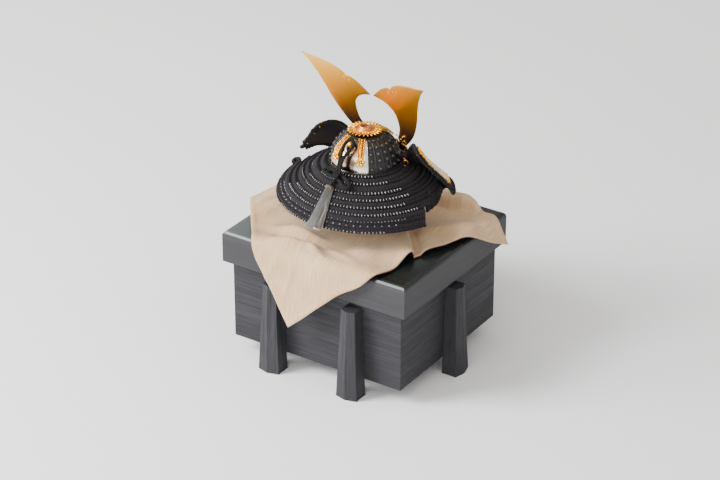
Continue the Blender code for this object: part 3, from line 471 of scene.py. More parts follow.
def stained_wood(name, stretch, pores):
    """Dark stained wood whose grain runs along the axis with the smallest stretch."""
    made, tree, shader, at = material(name, Specular_IOR_Level=0.32)
    grain = use(tree, GRAIN, Place=stretched(tree, at["Object"], stretch), Dark=rgb(38, 38, 42),
                Light=rgb(56, 56, 61), Pores=pores)
    feed(tree, shader, {"Base Color": grain["Colour"], "Roughness": grain["Rough"]})
    bump(tree, shader, grain["Height"], 0.3, 0.00025)
    return made


def lid_finish():
    """Grained sides, and a black lacquered top with a faint green cast, lightened towards +X by a painted
    sheen.
    """
    made, tree, shader, at = material("lid lacquer", Specular_IOR_Level=0.5)
    side = use(tree, GRAIN, Place=stretched(tree, at["Object"], (14, 14, 420)), Dark=rgb(37, 37, 41),
               Light=rgb(52, 52, 57), Pores=0.25)
    top = use(tree, GRAIN, Place=stretched(tree, at["Object"], (12, 300, 12)), Dark=rgb(14, 18, 17),
              Light=rgb(34, 42, 40), Pores=0.1)
    # Painted sheen: the top is mixed towards a light grey-green as X grows, standing in for light reflected
    # off the lacquer.
    painted_sheen = remap(tree, split(tree, at["Object"])["X"], -0.03, 0.07, 0.0, 0.8)
    sheened_top = blend(tree, painted_sheen, top["Colour"], rgb(88, 96, 95))
    is_top = remap(tree, split(tree, put(tree, "NewGeometry").outputs["Normal"])["Z"], 0.35, 0.8)
    feed(tree, shader, {"Base Color": blend(tree, is_top, side["Colour"], sheened_top),
                        "Roughness": remap(tree, is_top, 0.0, 1.0, 0.6, 0.26)})
    bump(tree, shader, side["Height"], 0.22, 0.0002)
    return made


def mottled(name, first, second, low, high, scale, relief, **sockets):
    """A finish that drifts from one colour and roughness to another."""
    made, tree, shader, at = material(name, **sockets)
    look = use(tree, MOTTLE, Place=at["Object"], Scale=scale, First=first, Second=second, Low_rough=low,
               High_rough=high)
    feed(tree, shader, {"Base Color": look["Colour"], "Roughness": look["Rough"]})
    bump(tree, shader, look["Height"], relief, 0.0001)
    return made


def lacquer(name, first, second, low, high, coat=0.6):
    """Glossy lacquer over metal or wood, a little uneven."""
    return mottled(name, first, second, low, high, 220.0, 0.12, Coat_Weight=coat, Coat_Roughness=0.08)


def metal(name, first, second, low, high, scale):
    """Plain polished or satin metal with slight drift of colour and polish."""
    return mottled(name, first, second, low, high, scale, 0.05, Metallic=1.0)


def laced_silk(name, base, bright, strands, sheen):
    """Close silk lacing: matt braid in two near tones, with painted shade between its strands."""
    made, tree, shader, at = material(name, Roughness=0.82, Sheen_Weight=sheen, Sheen_Roughness=0.5,
                                      Specular_IOR_Level=0.25)
    look = use(tree, BRAID, Place=at["UV"], Strands=strands)
    patch = noise(tree, at["UV"], 650.0, 4.0, Roughness=0.75)
    tone = reckon(tree, "MULTIPLY_ADD", patch, 0.9, look["Tone"])
    feed(tree, shader, {"Base Color": ramp(tree, tone, [(0.82, base), (1.10, bright)])})
    bump(tree, shader, look["Height"], 0.6, 0.00018)
    return made


def chased_gold():
    """Gold plate with chased relief, brown in its hollows as painted shade."""
    made, tree, shader, at = material("chased gold", Metallic=1.0, Roughness=0.27)
    look = use(tree, CHASING, Place=at["Object"], Scale=900.0, Hollow=rgb(190, 108, 22),
               Raised=rgb(255, 212, 96))
    feed(tree, shader, {"Base Color": look["Colour"]})
    bump(tree, shader, look["Height"], 0.3, 0.0002)
    return made


def horn_gold_painted_reflection():
    """Satin gold with a painted reflection: brown at the root, where the dark helmet shows in it, to pale
    gold at the tip.
    """
    made, tree, shader, at = material("horn gold", Metallic=0.85)
    # Painted reflection: the colour is set by height alone.
    up = remap(tree, split(tree, at["Object"])["Z"], 0.150, 0.212)
    drift = noise(tree, at["Object"], 30.0, 1.0)
    level = reckon(tree, "ADD", up, remap(tree, drift, 0.3, 0.7, -0.02, 0.02))
    stops = [(0.0, rgb(84, 58, 46)), (0.22, rgb(118, 78, 48)), (0.46, rgb(200, 126, 10)),
             (0.66, rgb(214, 140, 6)), (0.86, rgb(228, 162, 36)), (1.0, rgb(240, 184, 80))]
    colour = ramp(tree, level, stops)
    feed(tree, shader, {"Base Color": colour, "Roughness": remap(tree, drift, 0.3, 0.7, 0.30, 0.33)})
    return made


def cloth_silk(name, low, mid, high):
    """Slubbed silk on its own flat coordinates."""
    made, tree, shader, at = material(name, Roughness=0.62, Sheen_Weight=0.15, Sheen_Roughness=0.45,
                                      Specular_IOR_Level=0.3)
    look = use(tree, WEAVE, Place=at["UV"], Threads=11000.0, Slub=0.6)
    tone = reckon(tree, "MULTIPLY_ADD", look["Slubs"], 0.34, noise(tree, at["UV"], 24.0, 2.0))
    feed(tree, shader, {"Base Color": ramp(tree, tone, [(0.3, low), (0.7, mid), (1.0, high)])})
    bump(tree, shader, look["Height"], 0.35, 0.00012)
    return made


def brocade():
    """Silver brocade with a small gold fret, a common woven ground."""
    made, tree, shader, at = material("silver brocade", Roughness=0.5)
    look = use(tree, WEAVE, Place=at["UV"], Threads=9000.0, Slub=0.3)
    figure = put(tree, "TexVoronoi", {"voronoi_dimensions": "2D", "feature": "DISTANCE_TO_EDGE"},
                 Vector=stretched(tree, at["UV"], (520.0, 300.0, 1.0)), Scale=1.0)
    mask = remap(tree, figure.outputs["Distance"], 0.05, 0.14)
    feed(tree, shader, {"Base Color": blend(tree, mask, rgb(206, 168, 116), rgb(246, 240, 230))})
    bump(tree, shader, reckon(tree, "MULTIPLY_ADD", look["Height"], 0.4, mask), 0.5, 0.0001)
    return made


def tassel_silk():
    """Grey silk strands: streaks along the tassel, painted shade as a dark wedge down its right part, and a
    painted highlight as a light left edge.
    """
    made, tree, shader, at = material("tassel silk", Roughness=0.38, Metallic=0.25, Sheen_Weight=0.4)
    streak = noise(tree, stretched(tree, at["UV"], (4200.0, 120.0, 1.0)), 1.0, 3.0, True)
    place = split(tree, at["UV"])
    # Painted shade: dark beside the groove, a lighter ridge next to it, then mid grey.
    past = reckon(tree, "SUBTRACT", place["X"], remap(tree, place["Y"], 0.0120, 0.03, -0.0047, -0.0012))
    wedge = ramp(tree, past, [(-0.0004, rgb(74, 62, 54)), (0.0003, rgb(132, 126, 119)),
                              (0.0009, rgb(105, 103, 99)), (0.0060, rgb(93, 92, 89))])
    # Painted highlight: a light strip along the edge.
    edge = remap(tree, place["X"], -0.00435, -0.00405, 1.0, 0.0)
    tone = ramp(tree, streak, [(0.25, rgb(150, 150, 150)), (0.8, rgb(255, 255, 255))])
    shade = blend(tree, edge, wedge, rgb(176, 168, 158))
    feed(tree, shader, {"Base Color": blend(tree, 1.0, shade, tone, "MULTIPLY")})
    bump(tree, shader, streak, 0.5, 0.0002)
    return made


def silver_painted_reflection():
    """Silver plate, warm, with a painted reflection: darker brown along its middle and lighter towards its
    sides.
    """
    made, tree, shader, at = material("silver plate", Metallic=1.0)
    wander = noise(tree, at["Object"], 130.0, 2.0)
    uneven = remap(tree, wander, 0.3, 0.7, -0.0025, 0.0025)
    place = reckon(tree, "ADD", split(tree, at["Object"])["X"], uneven)
    level = remap(tree, place, -0.016, 0.016)
    # Painted reflection: light at both sides, dark brown across the middle.
    stops = [(0.0, rgb(236, 230, 222)), (0.28, rgb(224, 208, 194)), (0.36, rgb(126, 106, 94)),
             (0.52, rgb(106, 88, 78)), (0.64, rgb(206, 178, 154)), (1.0, rgb(222, 200, 180))]
    colour = ramp(tree, level, stops)
    feed(tree, shader, {"Base Color": colour, "Roughness": remap(tree, wander, 0.3, 0.7, 0.14, 0.24)})
    return made


WALL_WOOD = stained_wood("wall wood", (14, 14, 460), 0.4)
LEG_WOOD = stained_wood("leg wood", (460, 460, 12), 0.36)
LID = lid_finish()
BLACK = lacquer("black lacquer", rgb(10, 10, 11), rgb(22, 22, 23), 0.42, 0.54, 0.04)
# The rivets are black lacquer like the bowl; this lighter lacquer is a painted highlight.
RIVET_HIGHLIGHT = lacquer("rivet painted highlight", rgb(30, 30, 30), rgb(52, 52, 52), 0.36, 0.44, 0.08)
RED_LACQUER = lacquer("red brown lacquer", rgb(120, 46, 20), rgb(156, 70, 34), 0.25, 0.4)
LACING = laced_silk("purple black lacing", rgb(4, 3, 4), rgb(40, 34, 40), 5200.0, 0.02)
FUZZY = laced_silk("black binding", rgb(4, 4, 5), rgb(26, 24, 28), 4200.0, 0.03)
BLACK_CORD = laced_silk("black cord", rgb(2, 2, 2), rgb(17, 18, 17), 4600.0, 0.02)
# The scale tips are black lacquer; their light grey metal here is a painted glint.
SCALE_GLINT = metal("painted scale glint", rgb(98, 102, 100), rgb(182, 186, 182), 0.22, 0.32, 900.0)
SILVER = silver_painted_reflection()
GOLD = metal("polished gold", rgb(244, 170, 24), rgb(255, 204, 54), 0.2, 0.34, 300.0)
DEEP_GOLD = metal("deep gold", rgb(140, 78, 16), rgb(190, 116, 30), 0.3, 0.42, 500.0)
PALE_GOLD = metal("pale gold", rgb(214, 156, 84), rgb(244, 194, 118), 0.2, 0.32, 300.0)
CHASED, HORN = chased_gold(), horn_gold_painted_reflection()
SILK = cloth_silk("beige silk", rgb(182, 148, 110), rgb(203, 169, 130), rgb(223, 193, 154))
# A darker, redder copy of the silk for the cloth's underside.
UNDERSIDE_SILK = cloth_silk("cloth underside", rgb(104, 66, 54), rgb(128, 86, 70), rgb(146, 104, 86))
BROCADE, TASSEL = brocade(), tassel_silk()
RED = lacquer("red bead", rgb(170, 30, 20), rgb(206, 56, 30), 0.1, 0.2, 1.0)
WHITE = metal("silver paper", rgb(200, 200, 200), rgb(240, 240, 240), 0.3, 0.45, 120.0)


# The helmet's surfaces


def neck(share, angle, lift=0.0):
    """The neck guard: an ellipse that widens from the band to the rim while it drops as share to a power.
    Lift is off the surface along the slope's normal."""
    share, angle, lift = np.broadcast_arrays(np.asarray(share, float), angle, lift)
    width = mix(NECK_TOP_RADIUS, RIM_HALF_WIDTH, share)
    depth = mix(NECK_TOP_RADIUS, RIM_HALF_DEPTH, share)
    drop = NECK_DROP * share ** NECK_DROOP
    fall = NECK_DROP * NECK_DROOP * np.maximum(share, 0.02) ** (NECK_DROOP - 1)
    length = np.hypot(fall, NECK_SPREAD)
    reach, rise = lift * fall / length, lift * NECK_SPREAD / length
    return np.stack([(width + reach) * np.sin(angle), RIM_CENTRE_Y * share + (depth + reach) * np.cos(angle),
                     NECK_TOP_Z - drop + rise], -1)


def neck_axes(share, angle):
    """Unit directions on the neck guard: down the slope, round towards +X, and out."""
    step = 1e-4
    down = unit(neck(share + step, angle) - neck(share - step, angle))
    round_ = unit(neck(share, angle + step) - neck(share, angle - step))
    out = unit(np.cross(round_, down))
    return down, round_, out * np.where(out[..., 2:] < 0, -1.0, 1.0)


def lame_top(t):
    """Lift of a lame's outer face: highest at its head (t = 0), falling to its foot (t = 1)."""
    return LAME_THICKNESS + LAME_STEP * (1 - t)


def lame_angle(index, t, s):
    """The angle at share s from a lame's right end to its left end, at share t from its head to its foot."""
    right, left = (np.radians(a + (b - a) * t) for a, b in LAMES[index][2:])
    return mix(-right, left, s)


def cord_count(index):
    """How many cords lie side by side round a lame, at its middle."""
    start, end, right, left = LAMES[index]
    mean = mix(NECK_TOP_RADIUS, RIM_HALF_WIDTH, (start + end) / 2)
    return int(round(math.radians(sum(right + left) / 2) * mean / SCALE_PITCH))


# The radius that turns an angle round the neck guard into a length, and the closing ring's inner radius
NECK_UV_RADIUS = 0.045
CLOSING_RADIUS = 0.0245


def close_head(form, angle):
    """A thin dark ring from the bowl's foot to the first lame, so that no light shows between them."""
    across = np.linspace(0, 1, 6)[:, None]
    inside = about_axis(CLOSING_RADIUS, angle, BOWL_FOOT_Z + 0.0004)
    ring = mix(inside, neck(0.09, angle, 0.0004), across[..., None])
    up = np.array((0, 0, 0.0003))
    form.paint = 1
    form.shell(ring + up, ring - up, uv=points_of(across * 0.004, angle * NECK_UV_RADIUS))


def make_lames():
    """Each lame starts with a flat black strip for its row of tips. Below that it is a padded roll of lacing
    cords side by side: its lift is that of the solid, plus a roll |sin(pi phase)| and ribs |cos(pi cords s)|.
    The lowest has three rolls."""
    for index, (start, end, _, _) in enumerate(LAMES):
        wide = (end - start) * NECK_SPREAD
        strip = ROW_STRIP / wide
        t = np.linspace(0, 1, 41 if index == 5 else 25)[:, None]
        cords = cord_count(index)
        s = np.linspace(0, 1, cords * 8 + 1)[None]
        angle = lame_angle(index, t, s)
        marks = LOW_ROLLS if index == 5 else [strip, 1.0]
        phase = np.interp(t, marks, np.arange(len(marks)))
        wave = np.abs(np.cos(np.pi * cords * s)) ** 0.5
        roll = np.abs(np.sin(np.pi * phase)) ** 0.55
        dip = 0.0008 * (1 - smooth(0, 0.5 * strip, t)) + 0.0006 * smooth(0.93, 1, t)
        rise = (0.00044 * wave + 0.00066) * roll - dip - 0.0002
        rise = rise + 0.00012 * ripple(angle * NECK_UV_RADIUS, t * wide, 40 + index, 0.003)
        share = mix(start, end, t)
        outer = neck(share, angle, np.maximum(lame_top(t) + rise, LAME_STEP * (1 - t) + 0.0005))
        inner = neck(share, angle, LAME_STEP * (1 - t))
        uv = points_of(t * wide, angle * NECK_UV_RADIUS)
        form = Form()
        form.shell(outer, inner, uv=uv)
        black = int((t < strip).sum()) * (s.size - 1)
        form.slots[:black] = [1] * black
        if index == 0:
            close_head(form, angle[:1])
        form.piece(f"lame_{index + 1}_lacing", [LACING, FUZZY], [f"neck_lame_{index + 1}"],
                   "purple_black_lacing")


def make_scale_rows():
    """Rows of scale tips between black cords at each lame's head, which lean towards +X on the left; two rows
    of dots and crossed stitches on the lowest lame; a row of tips round the rim; and one bright edge. The
    tips, dots and edge are light grey metal on black lacquer: painted glints and a painted highlight."""
    tips, cords = Form(), Form()

    def row(index, t, lift, size, form, ends, slant=None, offset=0.0, seed=0, step=1):
        share = mix(*LAMES[index][:2], t)
        count = cord_count(index)
        rng = np.random.default_rng(seed)
        s = (np.arange(0, count, step) + 0.5 + offset) / count
        angle = lame_angle(index, t, s)
        jitter = rng.uniform(0.85, 1.12, (len(s), 1))
        lean = (0.42 * smooth(0.1, 0.5, angle) if slant is None else slant) + rng.uniform(-0.08, 0.08, len(s))
        lean = lean[:, None]
        down, around, out = neck_axes(share, angle)
        long_way = -down * np.cos(lean) + around * np.sin(lean)
        keep = (np.degrees(angle) > ends[0]) & (np.degrees(angle) < ends[1])
        form.beads(neck(share, angle, lift)[keep], long_way[keep], np.cross(out, long_way)[keep], out[keep],
                   (np.array(size) * jitter)[keep], 8, 6)

    for index, (start, end, _, _) in enumerate(LAMES):
        t = 0.0012 / ((end - start) * NECK_SPREAD)
        lift = LAME_THICKNESS + LAME_STEP
        row(index, t, lift + 0.0001, (0.00108, 0.00038, 0.00052), tips, ROW_ENDS[index], seed=index)
        row(index, t, lift, (0.00118, 0.00058, 0.00056), cords, (-200, 200), offset=0.5, seed=index)
    low = [float(lame_top(t)) for t in (0.45, 0.67, 0.82, 0.985)]
    row(5, 0.45, low[0] + 0.0002, (0.00056, 0.00048, 0.00052), tips, (-58, 58), seed=31, step=2)
    row(5, 0.45, low[0] + 0.0001, (0.00044, 0.00038, 0.00044), tips, (-58, 58), offset=1.0, seed=33, step=2)
    row(5, 0.67, low[1] + 0.0002, (0.00064, 0.00058, 0.00062), tips, (-52, 58), offset=0.4, seed=32, step=2)
    for t, lift in ((0.56, low[0] + 0.0007), (0.82, low[2] + 0.0009)):
        for lean in (0.8, -0.8):
            row(5, t, lift, (0.00118, 0.00034, 0.00040), cords, (-200, 200), lean, 0.5, seed=34)
    row(5, 0.985, low[3] + 0.0002, (0.00080, 0.00056, 0.00070), tips, (-41, 37), 0.0, seed=50)
    row(5, 0.985, low[3], (0.0009, 0.00062, 0.0007), cords, (-200, 200), 0.0, 0.5, seed=50)
    # Painted highlight: a bright line along the fourth lame's head on the left.
    edge = np.radians(np.linspace(37, 64, 40))
    painted_highlight_edge = neck(LAMES[3][0] + 0.022, edge, LAME_THICKNESS + LAME_STEP + 0.0002)
    tips.tube(painted_highlight_edge, 0.0005 * np.sin(np.linspace(0.15, np.pi - 0.15, 40)) ** 0.5, 8)
    tips.piece("scale_tip_glints", SCALE_GLINT)
    cords.piece("scale_cords", FUZZY)


def make_lame_ends():
    """Bound ends of the lames: a fat cord down each end with small knots at its corners, and a knot of loops
    where the lowest lame ends on the left."""
    form = Form()
    rng = np.random.default_rng(8)
    for index, (start, end, _, _) in enumerate(LAMES):
        t = np.linspace(0, 1, 17)
        for s in (0.0, 1.0):
            path = neck(mix(start, end, t), lame_angle(index, t, s), lame_top(t) - 0.0003)
            wobble = 1 + 0.16 * np.sin(np.arange(17) * 2.1 + index)
            form.tube(path, 0.00105 * wobble)
            if index >= 3:
                spots = np.linspace(0.06, 0.94, 4)
                angle = lame_angle(index, spots, s)
                share = mix(start, end, spots)
                centres = neck(share, angle, lame_top(spots) - 0.0002) + rng.uniform(-0.0003, 0.0003, (4, 3))
                form.beads(centres, *neck_axes(share, angle), rng.uniform(0.0010, 0.0015, (4, 1)), 10, 6)
    knot = neck(0.80, math.radians(86.5), 0.0040)
    for shift, wide, tilt in ((0.0, 0.0021, 0.4), (0.0026, 0.0019, -0.5), (-0.0024, 0.0018, 1.2)):
        first, second = np.array((math.cos(tilt), math.sin(tilt), 0.2)), np.array((0.1, -0.3, 1.0))
        centre = knot + np.array((-shift, shift * 0.4, shift * 0.5))
        form.tube(hoop(centre, unit(first) * wide, unit(second) * wide * 0.8, 24), 0.0011, 8, True,
                  np.cross(first, second))
    form.piece("lame_end_bindings", FUZZY)


def bowl(angle, level, lift=0.0):
    """The bowl: its smooth profile turned round the axis, lifted along the profile's normal."""
    angle, level, lift = np.broadcast_arrays(angle, level, lift)

    def profile(x):
        rise = np.array([row[0] for row in BOWL_PROFILE])
        place = np.interp(x, rise, np.linspace(0, 1, len(rise)))
        return curve([(r * BOWL_RADIUS, h * BOWL_HEIGHT) for h, r in BOWL_PROFILE], place)

    here = profile(level)
    slope = unit(profile(np.minimum(level + 0.015, 1)) - profile(np.maximum(level - 0.015, 0)))
    radius = here[..., 0] + lift * slope[..., 1]
    height = here[..., 1] - lift * slope[..., 0]
    return about_axis(radius, angle, BOWL_FOOT_Z + height)


def bowl_axes(angle, level):
    """Unit directions on the bowl: up the profile, round towards +X, and out."""
    up = unit(bowl(angle, np.minimum(level + 0.01, 1)) - bowl(angle, np.maximum(level - 0.01, 0)))
    around = points_of(np.cos(angle), -np.sin(angle), 0.0)
    return up, around, unit(bowl(angle, level, 0.001) - bowl(angle, level))


RIVET_LEVELS = np.array([0.13, 0.40, 0.605, 0.785, 0.935])
BOWL_PLATES, PLATE_STEPS = 24, 14


def make_bowl():
    """24 plates, each hollowed a little between two thin standing ribs, with a closed wall inside."""
    columns, rows = BOWL_PLATES * PLATE_STEPS, 44
    angle = turns(columns) + np.pi / BOWL_PLATES
    level = np.linspace(0, 1, rows)[:, None]
    across = (np.arange(columns) % PLATE_STEPS) / PLATE_STEPS
    near = np.minimum(across, 1 - across)
    rib = 0.00040 * bell(near, 0.06) - 0.00016 * bell(near - 0.15, 0.06)
    foot = 0.00045 * bell(level, 0.05)
    outer = bowl(angle[None], level, np.where(level > 0.97, 0, 1) * rib[None] + foot)
    inner = bowl(angle[None], level, -BOWL_WALL)
    inner[0, :, 2], inner[-1, :, 2] = BOWL_FOOT_Z, BOWL_FOOT_Z + BOWL_HEIGHT - BOWL_WALL
    form = Form()
    n = rows * columns
    ring = np.arange(columns)
    foot_wall = np.stack([ring, ring + n, np.roll(ring, -1) + n, np.roll(ring, -1)], -1)
    caps = [ring + n - columns, (ring + 2 * n - columns)[::-1]]
    faces = grid(rows, columns, True)
    form.add(np.concatenate([outer.reshape(-1, 3), inner.reshape(-1, 3)]),
             (faces, faces[:, ::-1] + n, foot_wall, [cap.tolist() for cap in caps]))
    beside = [c for c in range(BOWL_PLATES) if min(c, BOWL_PLATES - c) > 2 and abs(c - 12) > 2]
    turn, high = (a.ravel() for a in np.meshgrid(turns(BOWL_PLATES)[beside], RIVET_LEVELS))
    up, around, out = bowl_axes(turn, high)
    small = np.where(high > 0.9, 0.78, np.where(high > 0.7, 0.92, 1.0))[:, None]
    washer, dome = np.array((0.00150, 0.00150, 0.0003)) * small, np.array((0.00128, 0.00128, 0.00130)) * small
    form.beads(bowl(turn, high), up, around, out, washer, 12)
    form.piece("bowl_plates", BLACK, ["bowl"], "black_lacquer")
    # The rivets take the lighter lacquer, a painted highlight.
    rivets = Form()
    rivets.beads(bowl(turn, high, 0.0002), up, around, out, dome, 16, 10)
    rivets.piece("bowl_rivets", RIVET_HIGHLIGHT)


def make_plate(name, middle):
    """A polished plate over five columns, with a thin rolled edge."""
    half = math.radians(37.5)
    angle = middle + np.linspace(-half, half, 61)
    level = np.linspace(0.004, 0.94, 36)[:, None]
    form = Form()
    form.shell(bowl(angle[None], level, PLATE_LIFT), bowl(angle[None], level, GAP))
    s = np.linspace(0, 1, 40)
    border = np.concatenate([bowl(middle + mix(-half, half, s), 0.008, PLATE_LIFT),
                             bowl(middle + half, mix(0.008, 0.93, s)[1:], PLATE_LIFT),
                             bowl(middle + mix(half, -half, s)[1:], 0.93, PLATE_LIFT),
                             bowl(middle - half, mix(0.93, 0.008, s)[1:-1], PLATE_LIFT)])
    form.tube(border, 0.00026, 8, True)
    form.piece(f"{name}_polished", SILVER, [name], "silver")


def make_bar(name, middle, low):
    """A chased bar: a strip with a beaded line down each edge, slanting leaves between, and a flower at its
    foot of petals round a hollow eye."""
    form = Form()
    level = np.linspace(low + 0.15, 0.95, 30)
    radius = np.hypot(*np.moveaxis(bowl(0.0, level)[..., :2], -1, 0))
    side = np.linspace(-1, 1, 7)
    angle = middle + side[None] * 0.0017 / radius[:, None]
    crown = 0.00045 * (1 - side ** 2)[None]
    # The strip takes the deep gold: painted shade between the beads and leaves.
    form.paint = 1
    form.shell(bowl(angle, level[:, None], PLATE_LIFT + 0.0007 + crown),
               bowl(angle, level[:, None], PLATE_LIFT + 0.0002))
    form.paint = 0
    beads = np.linspace(low + 0.2, 0.95, 17)
    for sign in (-1, 1):
        r = np.hypot(*np.moveaxis(bowl(0.0, beads)[..., :2], -1, 0))
        turn = middle + sign * 0.00165 / r
        up, around, out = bowl_axes(turn, beads)
        form.beads(bowl(turn, beads, PLATE_LIFT + 0.0011), up, around, out, (0.00056, 0.00050, 0.00056),
                   10, 6)
    leaves = np.linspace(low + 0.22, 0.93, 11)
    up, around, out = bowl_axes(np.full(11, middle), leaves)
    lean = np.where(np.arange(11) % 2, 0.7, -0.7)[:, None]
    long_way = up * np.cos(lean) + around * np.sin(lean)
    form.beads(bowl(middle, leaves, PLATE_LIFT + 0.0013), long_way, np.cross(out, long_way), out,
               (0.00105, 0.00052, 0.0006), 8, 5)
    eye = low + 0.155
    up, around, out = (a[0] for a in bowl_axes(np.array([middle]), np.array([eye])))
    centre = bowl(middle, eye, PLATE_LIFT + 0.0011)
    way = hoop(0.0, up, around, 12)[1::2]
    square = np.cross(np.broadcast_to(out, way.shape), way)
    form.beads(centre + way * 0.0023 - out * 0.0001, way, square, out, (0.00140, 0.00106, 0.0007),
               10, 6)
    form.beads(centre + way * 0.0023 + out * 0.0004, way, square, out,
               (0.0006, 0.0003, 0.00025), 8, 4)
    form.tube(hoop(centre + out * 0.0005, up * 0.00085, around * 0.00085, 20), 0.00034, 8, True, out)
    form.piece(f"{name}_chased", [GOLD, DEEP_GOLD], [name], "gold")


def make_crown():
    """A rosette of pointed leaves, its edge radius root + (tip - root) of a pointed wave, ridged along each
    leaf, with beads at the leaves' feet; a stepped collar; and the lining inside the vent."""
    leaves, per = 26, 12
    turn = turns(leaves * per)
    wave = np.abs(((np.arange(leaves * per) / per) % 1) * 2 - 1)
    edge = 0.0084 + (0.0124 - 0.0084) * wave ** 1.4
    t = np.linspace(0, 1, 14)[:, None]
    radius = mix(0.0034, edge[None], t)
    ridge = 0.0006 * wave[None] ** 1.5 * smooth(0.45, 0.8, t)
    ridge = ridge - 0.0004 * (1 - wave[None]) * smooth(0.6, 1.0, t)
    fall = 0.0003 * np.sin(np.pi * t) + 0.0002 * smooth(0.7, 1.0, t)
    top = CROWN_Z + 0.0010 + fall + ridge
    outer = about_axis(radius, turn, top)
    inner = outer.copy()
    inner[..., 2] = np.minimum(CROWN_Z + 0.0003 + fall * 0.6, outer[..., 2] - 0.0003)
    form = Form()
    form.paint = 1
    form.shell(outer, inner, wrap=True)
    form.paint = 0
    seat = [(0.0034, CROWN_Z + 0.0003), (0.0062, CROWN_Z + 0.0003), (0.0062, CROWN_Z - 0.0008),
            (0.0034, CROWN_Z - 0.0008)]
    form.turned(seat, 52)
    for count, offset, place, size, high in ((26, 0, 0.0106, (0.00190, 0.00060, 0.00070), 0.0014),
                                             (26, 0.5, 0.0083, (0.0007, 0.00050, 0.0007), 0.0015),
                                             (39, 0, 0.0073, (0.00048, 0.00044, 0.00055), 0.0016)):
        a = (np.arange(count) + offset) * 2 * np.pi / count
        out = about_axis(1.0, a, 0.0)
        across = points_of(np.cos(a), -np.sin(a), 0.0)
        centres = out * place + np.array((0, 0, CROWN_Z + high))
        form.beads(centres, out, across, np.array((0.0, 0, 1)), size, 8, 5)
    form.piece("crown_rosette", [GOLD, CHASED], ["crown_petals"], "gold")

    base = CROWN_Z + 0.0012
    profile = [(0.0034, base)]
    for middle, r, z in ((0.0058, 0.00075, 0.0004), (0.0047, 0.00065, 0.0014), (0.0039, 0.00055, 0.0022)):
        sweep = np.linspace(-0.35 * np.pi, 0.62 * np.pi, 10)
        profile += [(middle + r * math.cos(s), base + z + r * math.sin(s)) for s in sweep]
    profile += [(0.0033, base + 0.0026), (0.0031, base + 0.0022), (0.0031, base)]
    form = Form()
    form.turned(profile, 64)
    form.piece("crown_collar_stepped", PALE_GOLD, ["crown_collar"], "gold")
    form = Form()
    form.turned([(0.00305, base - 0.0006), (0.00305, base + 0.0012), (0.0028, base + 0.0012),
                 (0.0026, base - 0.0001), (0.0009, base - 0.0002), (0.0009, base - 0.0006)], 40)
    form.piece("vent_lining", RED_LACQUER)


BOSS_LEVEL = 0.80
BOSS_POINT = bowl(0.0, BOSS_LEVEL, PLATE_LIFT + GAP)
BOSS_OUT = unit(bowl(0.0, BOSS_LEVEL, 0.001) - bowl(0.0, BOSS_LEVEL))
BOSS_DOWN = np.cross((1.0, 0, 0), BOSS_OUT)
BOSS_DOWN = BOSS_DOWN * (-1 if BOSS_DOWN[2] > 0 else 1)


def on_boss(p):
    """From the boss's own axes (side, down, out) to the model's."""
    return BOSS_POINT + p[..., :1] * np.array((1.0, 0, 0)) + p[..., 1:2] * BOSS_DOWN + p[..., 2:] * BOSS_OUT


def make_ring():
    """The domed boss on the back plate, and the ring that hangs on it."""
    form = Form()
    sweep = np.linspace(0, np.pi / 2, 8)
    dome = [(0.00185 * math.cos(s), 0.0024 + 0.0013 * math.sin(s)) for s in sweep[:-1]] + [(0.00002, 0.0037)]
    form.turned([(0.00002, -0.0001), (0.0013, -0.0001), (0.0013, 0.0003), (0.0008, 0.0006), (0.0008, 0.0016),
                 (0.0016, 0.0018)] + dome, 32, on_boss)
    form.piece("ring_boss_domed", GOLD, ["ring_boss"], "gold")
    form = Form()
    turn = turns(64)
    loop = on_boss(points_of(0.0038 * np.cos(turn), 0.0023 + 0.0038 * np.sin(turn), 0.00105))
    form.tube(loop, 0.00042, 10, True, BOSS_OUT)
    form.piece("ring_round", GOLD, ["ring"], "gold")


def on_neck(x, y, lift):
    """The point of the neck guard under a place in plan, found by stepping its share."""
    share = np.zeros(np.broadcast(x, y).shape)
    for _ in range(40):
        point = neck(share, np.arctan2(x, y - RIM_CENTRE_Y * share))
        share = share + (np.hypot(x, y) - np.hypot(point[..., 0], point[..., 1])) / NECK_SPREAD
    return neck(share, np.arctan2(x, y - RIM_CENTRE_Y * share), lift)


KNOT_SIDE, KNOT_Y, LOOP = 0.0013, BAND_RADIUS + 0.0043, 0.0118
CORD_RADIUS = 0.0009


